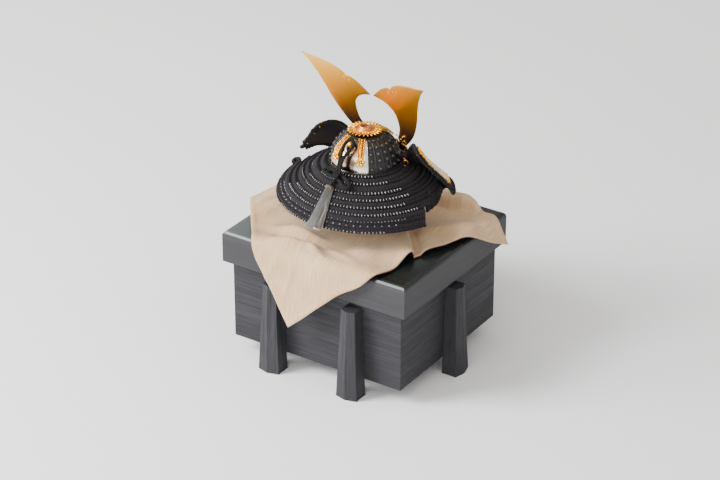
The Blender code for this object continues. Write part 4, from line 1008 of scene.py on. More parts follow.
def make_bow():
    """The cord: an arch round the boss whose two strands run to the knot, a loop to each side, a short end,
    and three turns of cord round the knot."""
    lift = LAME_TOP_LIFT + CORD_RADIUS * 1.5
    knot = on_neck(KNOT_SIDE, KNOT_Y, LAME_TOP_LIFT + 0.0026)
    side, reach = np.array((1.0, 0, 0)), 0.00185 + 2 * GAP + CORD_RADIUS
    centre = BOSS_POINT + BOSS_OUT * (2 * 0.00035 + 4 * GAP + CORD_RADIUS)
    fall = mix(centre, knot, 0.55) + np.array((0, 0.0015, 0.0025))
    apart = CORD_RADIUS * 1.15
    arch = [knot + side * apart, fall + side * apart, centre + side * reach + BOSS_DOWN * 0.001,
            centre - BOSS_DOWN * reach, centre - side * reach + BOSS_DOWN * 0.001, fall - side * apart,
            knot - side * apart]
    form = Form()
    s = np.linspace(0, 1, 90)
    up = BOSS_OUT + np.array((0.02, 0, 0))
    form.tube(curve(arch, s), 0.00115 + 0.00006 * np.sin(s * 260), 12, up=up, flat=0.95)
    loops = [[(0.05, -0.11), (0.42, -0.27), (0.81, -0.34), (1.00, -0.20), (0.78, -0.03), (0.41, 0.05),
              (0.05, 0.10)],
             [(-0.05, -0.10), (-0.38, -0.03), (-0.75, 0.14), (-0.92, 0.31), (-0.72, 0.42), (-0.39, 0.29),
              (-0.05, 0.11)]]
    start = np.array((KNOT_SIDE, KNOT_Y))
    for rows in loops:
        plan = curve(rows, np.linspace(0, 1, 60)) * LOOP + start
        high = lift + 0.0009 * np.sin(np.linspace(0, np.pi, 60))
        form.tube(on_neck(plan[:, 0], plan[:, 1], high), 0.00115, 12, flat=1.1)
        inner = curve(rows, np.linspace(0.06, 0.94, 50)) * np.array((0.78, 0.8)) * LOOP + start
        form.tube(on_neck(inner[:, 0], inner[:, 1], lift + 0.0002), 0.0010, 10)
    tail = curve([(0.02, 0.05), (0.10, 0.30), (0.16, 0.62)], np.linspace(0, 1, 20)) * LOOP + start
    form.tube(on_neck(tail[:, 0], tail[:, 1], lift - 0.0001), 0.0011, 10)
    slope, around, out = neck_axes(0.12, 0.05)
    for shift, tilt in ((-0.0014, 0.4), (0.0, 0.0), (0.0014, -0.4)):
        way = unit(slope * math.cos(tilt) + around * math.sin(tilt))
        ring = hoop(knot + around * shift, way * 0.0021, out * 0.0016, 30)
        form.tube(ring, 0.0010, 10, True, np.cross(way, out))
    form.piece("bow_cords", BLACK_CORD, ["bow"], "black_cord")


def make_tassel():
    """A flattened cone of strands: height = dome across it, with a groove down its right part and fine locks,
    its foot curling off the rim; a bound head with gold threads; and a curl of silver paper at its foot."""
    rows, columns = 60, 97
    t = np.linspace(0, 1, rows)[:, None]
    s = np.linspace(-1, 1, columns)[None]
    x = mix(0.0034, 0.0009, t)
    y = mix(BAND_RADIUS + 0.0112, RIM_CENTRE_Y + RIM_HALF_DEPTH + 0.0028, t)
    half = mix(0.0028, 0.0062, t) + 0.0013 * smooth(0.82, 1.0, t) * (s > 0) * s
    dome = np.sqrt(np.clip(1 - s ** 2, 0.02, 1))
    groove = 0.55 * bell(s + mix(0.78, 0.42, t), mix(0.14, 0.24, t))
    locks = 0.055 * np.sin(s * 40 + 2.2 * np.sin(t * 3 + s * 2)) + 0.04 * np.sin(s * 93 + t * 5)
    thick = 0.0027 * dome * (1 - groove * smooth(0.35, 0.6, t)) * (1 + locks) * mix(1.0, 0.8, t)
    floor = LAME_TOP_LIFT + 0.0001
    end = 0.0009 * np.sin(s * 3 + 0.6) * smooth(0.8, 1, t)
    px, py = x + s * half, y + end
    outer, inner = on_neck(px, py, floor + thick), on_neck(px, py, floor)
    form = Form()
    form.shell(outer, inner, uv=points_of(s * 0.0045, t * 0.03))
    form.piece("tassel_strands", TASSEL, ["tassel"], "grey_silk")

    head = Form()
    top = on_neck(0.0034, BAND_RADIUS + 0.0108, LAME_TOP_LIFT + 0.0012)
    slope, around, out = neck_axes(0.3, 0.08)
    for k in range(3):
        centre = top + slope * (0.0004 + 0.0006 * k)
        head.tube(hoop(centre, around * 0.0028, out * 0.0013, 24), 0.0004, 8, True, slope)
    head.piece("tassel_head_binding", TASSEL)
    thread = Form()
    s = np.linspace(0, 1, 16)[:, None]
    start = top - around * 0.0024 + out * 0.0012 + slope * 0.0004
    for k in range(3):
        thread.tube(start + slope * s * 0.0021 - around * (0.0004 * k - 0.0003 * np.sin(np.pi * s))
                    + out * 0.0004 * np.sin(np.pi * s), 0.00020, 8, up=out)
    thread.piece("tassel_gold_thread", DEEP_GOLD)
    curl = Form()
    foot = on_neck(-0.0012, RIM_CENTRE_Y + RIM_HALF_DEPTH + 0.0026, LAME_TOP_LIFT + 0.0004)
    slope, around, out = neck_axes(1.0, -0.02)
    sweep = np.linspace(-0.1, np.pi + 0.1, 26)[:, None]
    arc = foot + slope * 0.0004 - around * np.cos(sweep) * 0.0024 + out * np.sin(sweep) * 0.0016
    curl.tube(arc, 0.00042, up=slope, flat=0.6)
    curl.piece("tassel_foot_curl", WHITE)


# Turnbacks

TURNBACK_EDGE = [(0.609, 0.144, 1.000), (0.680, 0.158, 0.722), (0.759, 0.267, 0.333), (0.911, 0.699, -0.401),
                 (1.000, 1.000, -0.883)]


def turnback(side, u, v, lift=0.0):
    """A turnback: for u from its top to its tip, the curve (v) leaves the free edge forward to a bend and
    comes back down to the upper lames' ends. Lift is towards its front face."""
    def surface(u, v):
        edge = curve([(x * 0.0632, -y * 0.0146, BOWL_FOOT_Z + z * 0.0162) for x, y, z in TURNBACK_EDGE], u)
        bend = edge + np.array((-0.52, -0.84, 0.10 if side > 0 else 0.04)) * (0.0225 if side > 0 else 0.0195)
        share = mix(0.03, 0.64, u)
        past_end = 0.0021 / mix(NECK_TOP_RADIUS, RIM_HALF_WIDTH, share)
        foot = neck(share, math.radians(124) + past_end, LAME_THICKNESS)
        v = v[..., None]
        return edge * (1 - v) ** 2 + bend * 2 * v * (1 - v) + foot * v * v

    u, v, lift = np.broadcast_arrays(np.asarray(u, float), v, lift)
    step = 1e-3
    along = surface(np.clip(u + step, 0, 1), v) - surface(np.clip(u - step, 0, 1), v)
    across = surface(u, v + step) - surface(u, v - step)
    point = surface(u, v) + unit(np.cross(across, along)) * lift[..., None]
    return point * np.array((side, 1.0, 1.0))


def facing(side, u, v):
    """The unit direction out of a turnback's front face."""
    return unit(turnback(side, u, v, 0.001) - turnback(side, u, v))


def edge_start(u):
    """Where the free edge starts at u: the laced sheet is cut back near its top."""
    return 0.13 * np.maximum(0, 1 - u / 0.2) ** 2


TURNBACK_HALF = 0.00055
PANEL_LIFT = TURNBACK_HALF + GAP
PANEL_U, PANEL_V = (0.12, 0.84), (0.08, 0.60)

# The web under a turnback: where it hangs along the lower edge, how far it drops there, and on the right side
# the rest of its head (share, degrees) and of its foot (mm)
WEB_MARKS = np.array((0.06, 0.3, 0.55, 0.8, 1.0))
WEB_DROPS = {1: (0.0020, 0.0008, 0.0022, 0.0045, 0.0060), -1: (0.0026, 0.0066, 0.0068, 0.0075, 0.0100)}
WEB_HEAD = [(0.42, 113), (0.52, 97), (0.58, 84)]
WEB_FOOT = [(-50, -16, 121.8), (-52, -9, 121), (-52.6, 3.4, 120.8)]

# Two rolls at a turnback's root: radius, up, points in mm. Knots on its edges: u, v, least and most size
ROOT_ROLLS = [(0.0020, (0, 1, 0.2), [(21.8, -15.4, 143.0), (23.2, -13.0, 145.4), (24.6, -11.2, 148.4),
                                     (26.8, -10.2, 152.0)]),
              (0.0014, (0, 0, 1), [(19.0, -17.6, 143.4), (21.6, -14.4, 144.2), (24.0, -10.6, 144.5),
                                   (25.6, -6.0, 143.8)])]
KNOT_ROWS = [([0.99] * 6, [0.0, 0.03, 0.08, 0.14, 0.2, 0.27], 0.0010, 0.0017),
             ([0.995] * 7, [0.36, 0.44, 0.53, 0.62, 0.7, 0.78, 0.86], 0.0012, 0.0019),
             (np.linspace(0.3, 0.96, 12), [0.0] * 12, 0.0008, 0.0013),
             ([0.03, 0.06, 0.12], [0.12, 0.07, 0.03], 0.0010, 0.0013)]
TRIM_STUDS = [(0.2, 0.05), (0.5, 0.05), (0.8, 0.05), (0.25, 0.68), (0.55, 0.68), (0.85, 0.66)]


def add_web(form, side):
    """The lacing that hangs between a turnback's lower edge and the upper lames; returns its lower edge."""
    top = turnback(side, 0.985, WEB_MARKS)
    low = top - np.outer(WEB_DROPS[side], (0, 0, 1.0))
    if side < 0:
        top = np.vstack([top, [neck(share, -math.radians(a), 0.0006) for share, a in WEB_HEAD]])
        low = np.vstack([low, np.array(WEB_FOOT) * MM])
    s = np.linspace(0, 1, 56)
    across = np.linspace(0, 1, 14)[None, :, None]
    web = mix(curve(top, s)[:, None], curve(low, s)[:, None], across)
    behind = unit(np.cross(np.gradient(web, axis=0), np.gradient(web, axis=1))) * 0.0007
    form.shell(web + behind, web - behind, uv=points_of(s[:, None] * 0.04, across[..., 0] * 0.012))
    return low


def make_turnback(name, side):
    """A laced turnback: cords down its back, the web below it and two rolls at its root; then its parts."""
    u = np.linspace(0, 1, 97)[:, None]
    v = mix(edge_start(u), 1, np.linspace(0, 1, 49)[None])
    ribs = 0.00030 * np.abs(np.cos(np.pi * 15 * u)) ** 0.6 * smooth(0.02, 0.06, v)
    wear = 0.00006 * ripple(u * 0.04, v * 0.03, 71, 0.004)
    form = Form()
    form.shell(turnback(side, u, v, TURNBACK_HALF), turnback(side, u, v, -TURNBACK_HALF - ribs - wear),
               uv=points_of(v * 0.03, u * 0.038))
    low = add_web(form, side)
    flip = np.array((side, 1, 1)) * MM
    for radius, up, points in ROOT_ROLLS:
        form.tube(curve(np.array(points) * flip, np.linspace(0, 1, 20)), radius, 12, up=up)
    form.piece(f"turnback_{name}_lacing", LACING, [f"turnback_{name}"], "purple_black_lacing")
    rng = np.random.default_rng(5)
    make_binding(name, side, low, rng)
    make_panel(name, side)
    make_trim(name, side, rng)


def make_binding(name, side, low, rng):
    """Twisted cords round a turnback's edges and along its web, with knots on them."""
    edge = Form()
    s = np.linspace(0, 1, 140)
    twist = 1 + 0.16 * np.sin(s * 2 * np.pi * 30)
    along = s[:100] / s[99]
    edge.tube(turnback(side, s, edge_start(s) + 0.01), 0.00100 * twist, 10, up=(0.2, 0.3, 1))
    edge.tube(turnback(side, 0.005, mix(0.14, 0.97, along)), 0.00110 * twist[:100], 10, up=(0.3, 1, 0.2))
    edge.tube(turnback(side, 0.992, along * 0.97), 0.00125 * twist[:100], 10, up=(0.3, 1, 0.2))
    hem = curve(low, np.linspace(0, 1, 80))
    edge.tube(hem, 0.00105 * (1 + 0.2 * np.sin(np.arange(80) * 1.3)), 10, up=(0.3, 1, 0.2))
    for spots_u, spots_v, least, most in KNOT_ROWS:
        spots = turnback(side, np.array(spots_u), np.array(spots_v))
        spots = spots + rng.uniform(-0.0005, 0.0005, spots.shape)
        size = rng.uniform(least, most, (len(spots), 1)) * np.array((1.0, 0.95, 0.9))
        edge.beads(spots, *np.eye(3), size, 8, 6)
    edge.piece(f"turnback_{name}_binding", FUZZY)


def make_panel(name, side):
    """The brocade panel, puffed a little in its middle."""
    u, v = np.linspace(*PANEL_U, 60)[:, None], np.linspace(*PANEL_V, 30)[None]
    puff = 0.0002
    for share, (low, high) in ((u, PANEL_U), (v, PANEL_V)):
        puff = puff * np.sin(np.pi * np.clip((share - low) / (high - low), 0, 1))
    panel = Form()
    panel.shell(turnback(side, u, v, PANEL_LIFT + 0.0005 + puff), turnback(side, u, v, PANEL_LIFT),
                uv=points_of(u * 0.038, v * 0.03))
    panel.piece(f"turnback_{name}_brocade", BROCADE, [f"turnback_panel_{name}"], "silver_brocade")


def make_trim(name, side, rng):
    """A gold beaded border round the panel, short gold threads strewn over its upper part, and six studs."""
    trim = Form()
    (top, foot), (near, far) = PANEL_U, PANEL_V
    u = np.concatenate([np.linspace(top, foot, 40), np.full(14, foot), np.linspace(foot, top, 40),
                        np.full(14, top)])
    v = np.concatenate([np.full(40, near), np.linspace(near, far, 16)[1:-1], np.full(40, far),
                        np.linspace(far, near, 16)[1:-1]])
    strewn_u, strewn_v = rng.uniform(0.12, 0.40, 46), rng.uniform(0.08, 0.34, 46)
    for u, v, step, size in ((u, v, 0.0, (0.00046, 0.00046, 0.0005)),
                             (strewn_u, strewn_v, 0.004, (0.00085, 0.00045, 0.0004))):
        out = facing(side, u, v)
        way = unit(turnback(side, u + 0.01, v + step) - turnback(side, u - 0.01, v - step))
        trim.beads(turnback(side, u, v, PANEL_LIFT + 0.0006), way, np.cross(out, way), out, size, 8, 5)
    for u, v in TRIM_STUDS:
        spot, face = turnback(side, u, v)[None], facing(side, u, v)
        trim.beads(spot + face * 0.0009, *axes_about(face), (0.0008, 0.0008, 0.0005), 10, 6)
        trim.beads(spot - face * 0.0011, *axes_about(face), (0.00062, 0.00062, 0.0005), 10, 6)
    trim.piece(f"turnback_{name}_gold_trim", GOLD)


def make_eyelet(name, side):
    """A gold loop standing at the turnback's root, with a red bead over it."""
    loop = Form()
    flip = np.array((side, 1, 1))
    centre = np.array((0.0275, -0.0082, 0.1456))
    wide, tall = np.array((0.83, -0.55, 0)), np.array((0.1, 0.1, 1.0))
    ring = hoop(centre, wide * 0.0014, tall * 0.0023, 28) * flip
    loop.tube(ring, 0.00042, 8, True, np.cross(wide, tall) * flip)
    loop.piece(f"side_eyelet_{name}_loop", GOLD, [f"side_eyelet_{name}"])
    bead = Form()
    bead.beads(np.array([(0.0266, -0.0082, 0.1487)]) * flip, *np.eye(3), (0.0010, 0.0010, 0.0008), 16, 10)
    bead.piece(f"side_eyelet_{name}_red", RED, [f"side_eyelet_{name}_bead"])


def axes_about(out):
    """Two unit directions square to out, and out."""
    first = unit(np.cross(out, (0.3, 0.2, 0.93)))
    return first, np.cross(out, first), out


# Horns and the front

HORN_EDGES = [
    (0.252, 0.008, 0.367, 0.000), (0.258, 0.079, 0.458, 0.079), (0.305, 0.173, 0.532, 0.157),
    (0.336, 0.252, 0.586, 0.230), (0.344, 0.346, 0.629, 0.299), (0.326, 0.459, 0.672, 0.381),
    (0.266, 0.536, 0.707, 0.456), (0.170, 0.592, 0.728, 0.505), (0.022, 0.628, 0.744, 0.553),
    (0.108, 0.700, 0.761, 0.597), (0.194, 0.766, 0.784, 0.652), (0.295, 0.811, 0.806, 0.703),
    (0.363, 0.816, 0.829, 0.752), (0.419, 0.865, 0.856, 0.799), (0.526, 0.915, 0.885, 0.846),
    (0.682, 0.951, 0.913, 0.893), (0.849, 0.976, 0.957, 0.947), (0.981, 1.000, 1.000, 0.992),
]


def horn_y(x, height):
    """Where a horn's blade lies: leaning back with height, cupped with x squared, its toe drawn forward."""
    return -0.0242 + 0.405 * (height - 0.0050) + 1.76 * x * x - 0.12 * np.maximum(0.0120 - height, 0)


def horn_point(x, height, side, lift=0.0):
    """A point on a horn; the pair stands a little askew, higher on the left with height and reach."""
    askew = side * 0.049 * x * (height - 0.0050) / 0.0636
    wide = x * (1.0 if side > 0 else 1.025)
    return np.stack([side * wide, horn_y(x, height) + lift, BOWL_FOOT_Z + height + askew], -1)


def horn_edge(t, outer):
    """A point (x, height) on the inner or outer edge, with the notch and the inner tip kept sharp."""
    rows = np.array(HORN_EDGES)[:, 2:] if outer else np.array(HORN_EDGES)[:, :2]
    rows = rows * np.array((0.0485, 0.0636)) + np.array((0, 0.0050))
    if outer:
        return curve(rows, t)
    at, last = t * (len(rows) - 1), len(rows) - 1
    parts = [(0, 8), (8, 12), (12, last)]
    total = np.zeros(t.shape + (2,))
    for k, (low, high) in enumerate(parts):
        inside = (at >= low) & ((at < high) | (k == 2))
        total[inside] = curve(rows[low:high + 1], (at[inside] - low) / (high - low))
    return total


HORN_HOLES = [(0.0228, 0.0556), (0.0192, 0.0545), (0.0160, 0.0530)]
HOLE_RADIUS, RIM_RADIUS = 0.00062, 0.00078


def make_horn(name, side):
    """A thin blade between its edges, with three pierced holes ringed by a small bead."""
    t = np.linspace(0, 1, 17 * 5 + 1)
    inner, outer = horn_edge(t, False), horn_edge(t, True)
    s = np.linspace(0, 1, 15)[None, :, None]
    place = mix(inner[:, None], outer[:, None], s)
    x, height = place[..., 0], place[..., 1]
    thick = 0.00038 * (1 - 0.55 * np.abs(2 * s[..., 0] - 1) ** 6)
    form = Form()
    form.shell(horn_point(x, height, side, thick), horn_point(x, height, side, -thick), uv=place)
    horn = form.piece(f"{name}_blade", HORN, [name], "gold")
    cutter = Form()
    for x, h in HORN_HOLES:
        ring = hoop(np.array((x, h)), np.array((HOLE_RADIUS, 0)), np.array((0, HOLE_RADIUS)), 16)
        rings = np.stack([horn_point(ring[:, 0], ring[:, 1], side, d) for d in (-0.002, 0.002)])
        cutter.add(rings, (grid(2, 16, True), [list(range(16))[::-1]], [list(range(16, 32))]))
    tool = cutter.piece(f"{name}_hole_tool", HORN)
    cut = horn.modifiers.new("holes", "BOOLEAN")
    cut.operation, cut.object = "DIFFERENCE", tool
    depsgraph = bpy.context.evaluated_depsgraph_get()
    result = bpy.data.meshes.new_from_object(horn.evaluated_get(depsgraph))
    horn.modifiers.clear()
    horn.data = result
    bpy.data.objects.remove(tool)
    horn.data.shade_smooth()
    horn.data.set_sharp_from_angle(angle=math.radians(40))
    rim = Form()
    for x, h in HORN_HOLES:
        ring = hoop(np.array((x, h)), np.array((RIM_RADIUS, 0)), np.array((0, RIM_RADIUS)), 20)
        for lift in (0.00042, -0.00042):
            rim.tube(horn_point(ring[:, 0], ring[:, 1], side, lift), 0.00014, 6, True, (0, 1, 0))
    rim.piece(f"{name}_hole_rims", GOLD)


# The leaves at a horn's foot: x and height in mm, and turn
HORN_FOOT_LEAVES = [(12.5, 13.5, 0.5), (13.4, 11.4, 1.0), (19.0, 14.4, 0.2), (17.4, 13.6, 0.6),
                    (17.6, 9.6, 0.3), (16.0, 8.6, 1.1), (14.6, 5.6, 0.8), (16.9, 4.4, 0.2),
                    (18.6, 8.6, 1.3), (15.2, 10.6, 0.1), (13.6, 8.2, 1.4), (15.9, 6.3, 0.5)]


def make_horn_feet():
    """Chased leaves round each horn's foot, on its back."""
    form = Form()
    for side in (1, -1):
        for x, height, turn in HORN_FOOT_LEAVES:
            centre = horn_point(x * MM, height * MM, side, 0.0008)[None]
            first = np.array((side * math.cos(turn), 0.1, math.sin(turn)))
            out = unit(np.array((0.05 * side, 0.92, -0.37)))
            form.beads(centre, unit(first), unit(np.cross(out, first)), out, (0.0012, 0.00055, 0.0006), 10, 6)
    form.piece("horn_foot_leaves", GOLD)


VISOR_REACH, VISOR_TURN = 0.0130, math.radians(46)


def make_front():
    """Gold edging round the peak, rivets on it, studs on the socket plate, and beads between the horns."""
    def peak(s, share, drop):
        reach = VISOR_REACH * (1 - 0.75 * s * s) * share
        height = BOWL_FOOT_Z - GAP - 0.45 * reach - drop
        return about_axis(BAND_RADIUS + GAP + reach, np.pi + s * VISOR_TURN, height)

    edging = Form()
    edging.tube(peak(np.linspace(-1, 1, 81), 1.0, 0.00055), 0.00075)
    rivets = peak(np.linspace(-0.62, 0.62, 7) / VISOR_TURN, 0.62, 0.0)
    edging.beads(rivets, *np.eye(3), (0.0009, 0.0009, 0.0006), 12, 6)
    edging.piece("visor_gold_edging", GOLD)
    studs = Form()
    x = np.linspace(-0.0135, 0.0135, 7)
    for height in (0.0022, 0.0062):
        y = horn_y(x, height) - 0.0004 - GAP - 0.0012
        studs.beads(points_of(x, y, BOWL_FOOT_Z + height), *np.eye(3), (0.0011, 0.0005, 0.0011), 10, 6)
    turn = turns(12)
    y = horn_y(0.0, 0.0055) - 0.0022
    studs.beads(points_of(0.0030 * np.cos(turn), y, BOWL_FOOT_Z + 0.0042 + 0.0030 * np.sin(turn)),
                *np.eye(3), (0.0009, 0.0005, 0.0009), 8, 5)
    studs.beads(np.array([[0.0, y, BOWL_FOOT_Z + 0.0042]]), *np.eye(3), (0.0018, 0.0010, 0.0018), 16, 8)
    studs.piece("horn_mount_studs", GOLD)


def make_band():
    """The base band as rows of fine cord round the bowl's foot."""
    form = Form()
    turn = turns(240)
    for high, radius in ((BOWL_FOOT_Z - 0.0007, 0.0004), (BOWL_FOOT_Z - 0.0016, 0.0005)):
        twist = 1 + 0.18 * np.sin(turn * 66)
        form.tube(about_axis(BAND_RADIUS - 0.0002, turn, high), radius * twist, 8, True)
    form.piece("band_cords", FUZZY)


# Cloth

CLOTH_EDGES = {
    "left": [(0.585, 0.118), (0.445, 0.330), (0.332, 0.497), (0.212, 0.690), (0.074, 0.900)],
    "back": [(0.074, 0.900), (-0.150, 0.665), (-0.342, 0.490), (-0.385, 0.214), (-0.490, -0.050),
             (-0.628, -0.360)],
    "right": [(0.060, -0.900), (-0.130, -0.600), (-0.330, -0.432), (-0.500, -0.385), (-0.628, -0.360)],
    "front": [(0.585, 0.118), (0.520, -0.200), (0.430, -0.480), (0.260, -0.680), (0.060, -0.900)],
}
CLOTH_BULGES = [(0.40, 0.14, 0.107, 0.0035), (0.16, 0.40, 0.113, 0.0050), (-0.20, 0.36, 0.093, 0.0045),
                (-0.42, -0.14, 0.113, 0.0060), (-0.30, -0.40, 0.067, 0.0035)]


# The radius of the cloth's bend over the lid's edge, how far inside the edge the bend starts, and the
# creases: x, y, direction, width, length, height
CLOTH_TURN, CLOTH_INSET = 0.0065, 0.0022
CLOTH_CREASES = [
    (0.026, 0.055, 0.15, 0.0048, 0.012, -0.0048), (0.024, 0.0455, 0.1, 0.0040, 0.016, 0.0040),
    (0.016, 0.062, 0.25, 0.0036, 0.018, 0.0034), (0.022, 0.054, 0.05, 0.0032, 0.015, -0.0018),
    (0.002, 0.060, -0.5, 0.0030, 0.012, 0.0018), (0.050, 0.050, 1.0, 0.004, 0.020, 0.0014),
    (0.030, 0.068, 0.1, 0.0026, 0.010, 0.0014), (-0.016, 0.056, -0.35, 0.0030, 0.016, 0.0014),
    (0.062, 0.030, 1.15, 0.0040, 0.018, 0.0014), (0.068, 0.016, 1.3, 0.0030, 0.012, -0.0010),
    (-0.052, -0.010, 0.5, 0.0050, 0.022, 0.0016), (-0.064, -0.030, 0.2, 0.0035, 0.014, -0.0010),
    (-0.040, -0.052, -0.1, 0.0036, 0.020, 0.0016), (0.014, 0.088, 1.35, 0.0022, 0.016, 0.0008),
    (0.030, 0.084, 1.1, 0.0026, 0.022, 0.0006), (-0.010, 0.090, 2.0, 0.0030, 0.020, 0.0006)]


def cloth_flat(u, v):
    """The cloth laid flat: a patch blended from its four edge curves."""
    edge = {key: np.array(rows) * np.array((LID_WIDTH, LID_DEPTH)) for key, rows in CLOTH_EDGES.items()}
    low, high = curve(edge["left"], u), curve(edge["right"], u)
    start, end = curve(edge["front"], v), curve(edge["back"], v)
    u, v = u[..., None], v[..., None]
    corners = mix(mix(edge["left"][0], edge["left"][-1], u), mix(edge["right"][0], edge["right"][-1], u), v)
    return mix(low, high, v) + mix(start, end, u) - corners


def hang(excess, limit):
    """Past the start of its turn the cloth bends on an arc to its hanging angle, then runs straight."""
    over = np.maximum(excess, 0)
    turned = np.minimum(over / CLOTH_TURN, limit)
    rest = over - turned * CLOTH_TURN
    out = np.where(excess <= 0, excess, CLOTH_TURN * np.sin(turned) + rest * np.cos(turned))
    return out, CLOTH_TURN * (1 - np.cos(turned)) + rest * np.sin(turned)


def cloth_point(u, v):
    """The draped cloth: bent over the lid's edges, puffed in soft bulges, with a lapped fold and creases."""
    flat = cloth_flat(u, v)
    x, y = flat[..., 0], flat[..., 1]
    edge_x, edge_y = LID_WIDTH / 2 - CLOTH_INSET, LID_DEPTH / 2 - CLOTH_INSET
    out_x, down_x = hang(np.abs(x) - edge_x, np.where(x > 0, math.radians(6), math.radians(52)))
    out_y, down_y = hang(np.abs(y) - edge_y, math.radians(81))
    lift = sum(h * np.exp(-((x / LID_WIDTH - bx) ** 2 + (y / LID_DEPTH - by) ** 2) / r ** 2)
               for bx, by, r, h in CLOTH_BULGES)
    to_edge = np.minimum(edge_x - np.abs(x), edge_y - np.abs(y))
    lift = lift + 0.0021 * bell(to_edge, 0.009)
    off_ridge = (x + 0.0594) * 0.780 + (y - 0.0316) * 0.626
    along = (x + 0.0594) * 0.626 - (y - 0.0316) * 0.780
    reach = smooth(-0.012, 0.004, along) * (1 - smooth(0.034, 0.060, along))
    fold = smooth(-0.0012, 0.0002, off_ridge) * bell(np.maximum(off_ridge, 0), 0.024)
    valley = 0.0022 * bell(off_ridge + 0.013, 0.008) - 0.0030 * bell(off_ridge + 0.0035, 0.0034)
    lift = lift + reach * (0.0060 * fold + valley)
    roll_at = y + 0.0480 - 0.10 * (x + 0.040) + 0.0012 * np.sin(x * 190)
    roll = smooth(0.0012, -0.0010, roll_at) * bell(np.minimum(roll_at + 0.004, 0), 0.010)
    side_on = smooth(-0.066, -0.055, x) * (1 - smooth(-0.020, -0.010, x))
    lift = lift + side_on * (0.0060 * roll - 0.0012 * bell(roll_at - 0.0028, 0.0026))
    creases = 0.0
    for cx, cy, angle, wide, length, high in CLOTH_CREASES:
        dx, dy = x - cx, y - cy
        a, b = dx * math.cos(angle) + dy * math.sin(angle), -dx * math.sin(angle) + dy * math.cos(angle)
        creases = creases + high * bell(a, length) * bell(b, wide)
    lift = lift + creases + 0.00022 * ripple(x, y, 9, 0.045) + 0.00008 * ripple(x, y, 10, 0.013) + 0.0004
    lift = np.maximum(lift, 0.0003)
    hung = np.clip(down_y / 0.01, 0, 1)
    px = np.copysign(edge_x + out_x, x) + hung * 0.0006 * ripple(x, y, 12, 0.05)
    py = np.copysign(edge_y + out_y, y) + np.sign(y) * hung * lift * 0.9
    return np.stack([px, py, LID_TOP_Z + GAP + lift * (1 - hung) - down_x - down_y], -1)


def make_cloth():
    """The cloth as a closed sheet with a raised hem."""
    n = 200
    u, v = np.meshgrid(np.linspace(0, 1, n), np.linspace(0, 1, n), indexing="ij")
    step = 1e-3
    lower = cloth_point(u, v)
    along = cloth_point(u + step, v) - cloth_point(u - step, v)
    across = cloth_point(u, v + step) - cloth_point(u, v - step)
    for edge in (along, across):
        edge[0], edge[-1], edge[:, 0], edge[:, -1] = edge[1], edge[-2], edge[:, 1], edge[:, -2]
    normal = unit(np.cross(along, across))
    if normal[n // 2, n // 2, 2] < 0:
        normal = -normal
    near = np.minimum(np.minimum(u, 1 - u), np.minimum(v, 1 - v))
    hem = 0.00032 * smooth(0.0, 0.006, near) * (1 - smooth(0.022, 0.027, near))
    flat = cloth_flat(u, v)
    form = Form()
    form.shell(lower + normal * (0.00075 + hem)[..., None], lower, uv=flat, inner_slot=1)
    cloth = form.piece("silk_cloth", [SILK, UNDERSIDE_SILK], ["drape_cloth"], "beige_silk")


# The solids that stay


def dress(finish, *nodes):
    """Give solids that stay as they are a material."""
    for name in nodes:
        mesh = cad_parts[name].data
        mesh.materials.clear()
        mesh.materials.append(finish)


def dress_solids():
    """Wood for the chest and post, and finishes for the band, the peak and the horn mount."""
    dress(WALL_WOOD, "chest_body")
    dress(LID, "chest_lid")
    legs = ("back_left", "back_right", "left", "right", "front_left", "front_right")
    dress(LEG_WOOD, *[f"chest_leg_{leg}" for leg in legs])
    dress(LEG_WOOD, "stand_post")
    dress(BLACK, "bowl_band", "visor")
    dress(CHASED, "horn_mount")


# The picture


def aim(obj, place, target):
    """Put an object at a place, looking at a target."""
    obj.location = place
    obj.rotation_euler = (Vector(place) - Vector(target)).to_track_quat("Z", "Y").to_euler()


def add_light(name, place, target, size, power, colour):
    """A rectangular lamp of a width and height, aimed at a target."""
    lamp = bpy.data.lights.new(name, "AREA")
    lamp.shape, lamp.size, lamp.size_y = "RECTANGLE", size[0], size[1]
    lamp.energy, lamp.color = power, colour
    obj = bpy.data.objects.new(name, lamp)
    bpy.context.scene.collection.objects.link(obj)
    aim(obj, place, target)


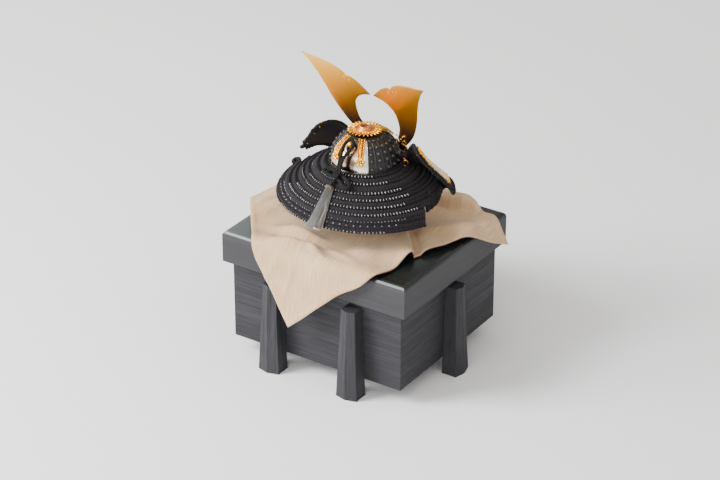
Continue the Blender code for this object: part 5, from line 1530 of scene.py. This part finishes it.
def set_stage():
    """A pale floor that fills the picture, soft light from the left, and the photograph's camera."""
    made, tree, shader, at = material("pale floor", Roughness=0.75, Specular_IOR_Level=0.2)
    soft = noise(tree, at["Object"], 1.6, 1.0)
    colour = ramp(tree, soft, [(0.3, rgb(249, 249, 249)), (0.7, rgb(251, 251, 251))])
    feed(tree, shader, {"Base Color": colour})
    floor = bpy.data.meshes.new("floor")
    floor.from_pydata([(-6, -6, 0), (6, -6, 0), (6, 6, 0), (-6, 6, 0)], [], [(0, 1, 2, 3)])
    floor.materials.append(made)
    ground = bpy.data.objects.new("floor", floor)
    bpy.context.scene.collection.objects.link(ground)

    target = (0.004425, 0.0, 0.07989)
    azimuth, elevation, distance = math.radians(213.47), math.radians(28.286), 1.754610
    back = Vector((math.sin(azimuth) * math.cos(elevation), -math.cos(azimuth) * math.cos(elevation),
                   math.sin(elevation)))
    lens = bpy.data.cameras.new("camera")
    lens.lens, lens.sensor_width, lens.clip_start = 125.094, 36.0, 0.05
    camera = bpy.data.objects.new("camera", lens)
    bpy.context.scene.collection.objects.link(camera)
    camera.location = Vector(target) + back * distance
    camera.rotation_euler = back.to_track_quat("Z", "Y").to_euler()
    bpy.context.scene.camera = camera

    world = bpy.data.worlds.new("soft room")
    world.use_nodes = True
    sky = world.node_tree
    way = put(sky, "TexCoord").outputs["Generated"]
    dot = put(sky, "VectorMath", {"operation": "DOT_PRODUCT"}, _0=way, _1=(0.0, 0.85, 0.53))
    towards = dot.outputs["Value"]
    feed(sky, sky.nodes["Background"], {"Color": (1.0, 0.975, 0.95, 1.0),
                                        "Strength": remap(sky, towards, -0.7, 0.7, 0.43, 1.20)})
    bpy.context.scene.world = world
    centre = (0.0, 0.0, 0.12)
    add_light("left window", (0.80, 0.95, 1.15), centre, (0.6, 0.6), 34.0, (0.98, 0.99, 1.0))
    add_light("low window", (1.00, 0.90, 0.56), centre, (0.5, 0.3), 15.0, (1.0, 0.99, 0.97))
    add_light("front window", (-0.20, 1.30, 0.75), centre, (1.0, 0.8), 6.0, (1.0, 0.995, 0.98))


make_lames()
make_scale_rows()
make_lame_ends()
make_bowl()
make_plate("back_plate", 0.0)
make_plate("front_plate", math.pi)
make_bar("back_bar_left", math.radians(24.7), 0.25)
make_bar("back_bar_right", -math.radians(24.7), 0.25)
make_bar("front_bar_left", math.pi - math.radians(28), 0.60)
make_bar("front_bar_right", math.pi + math.radians(28), 0.60)
make_crown()
make_ring()
make_bow()
make_tassel()
make_turnback("left", 1)
make_turnback("right", -1)
make_horn("horn_left", 1)
make_horn("horn_right", -1)
make_eyelet("left", 1)
make_eyelet("right", -1)
make_horn_feet()
make_front()
make_band()
make_cloth()
dress_solids()
set_stage()
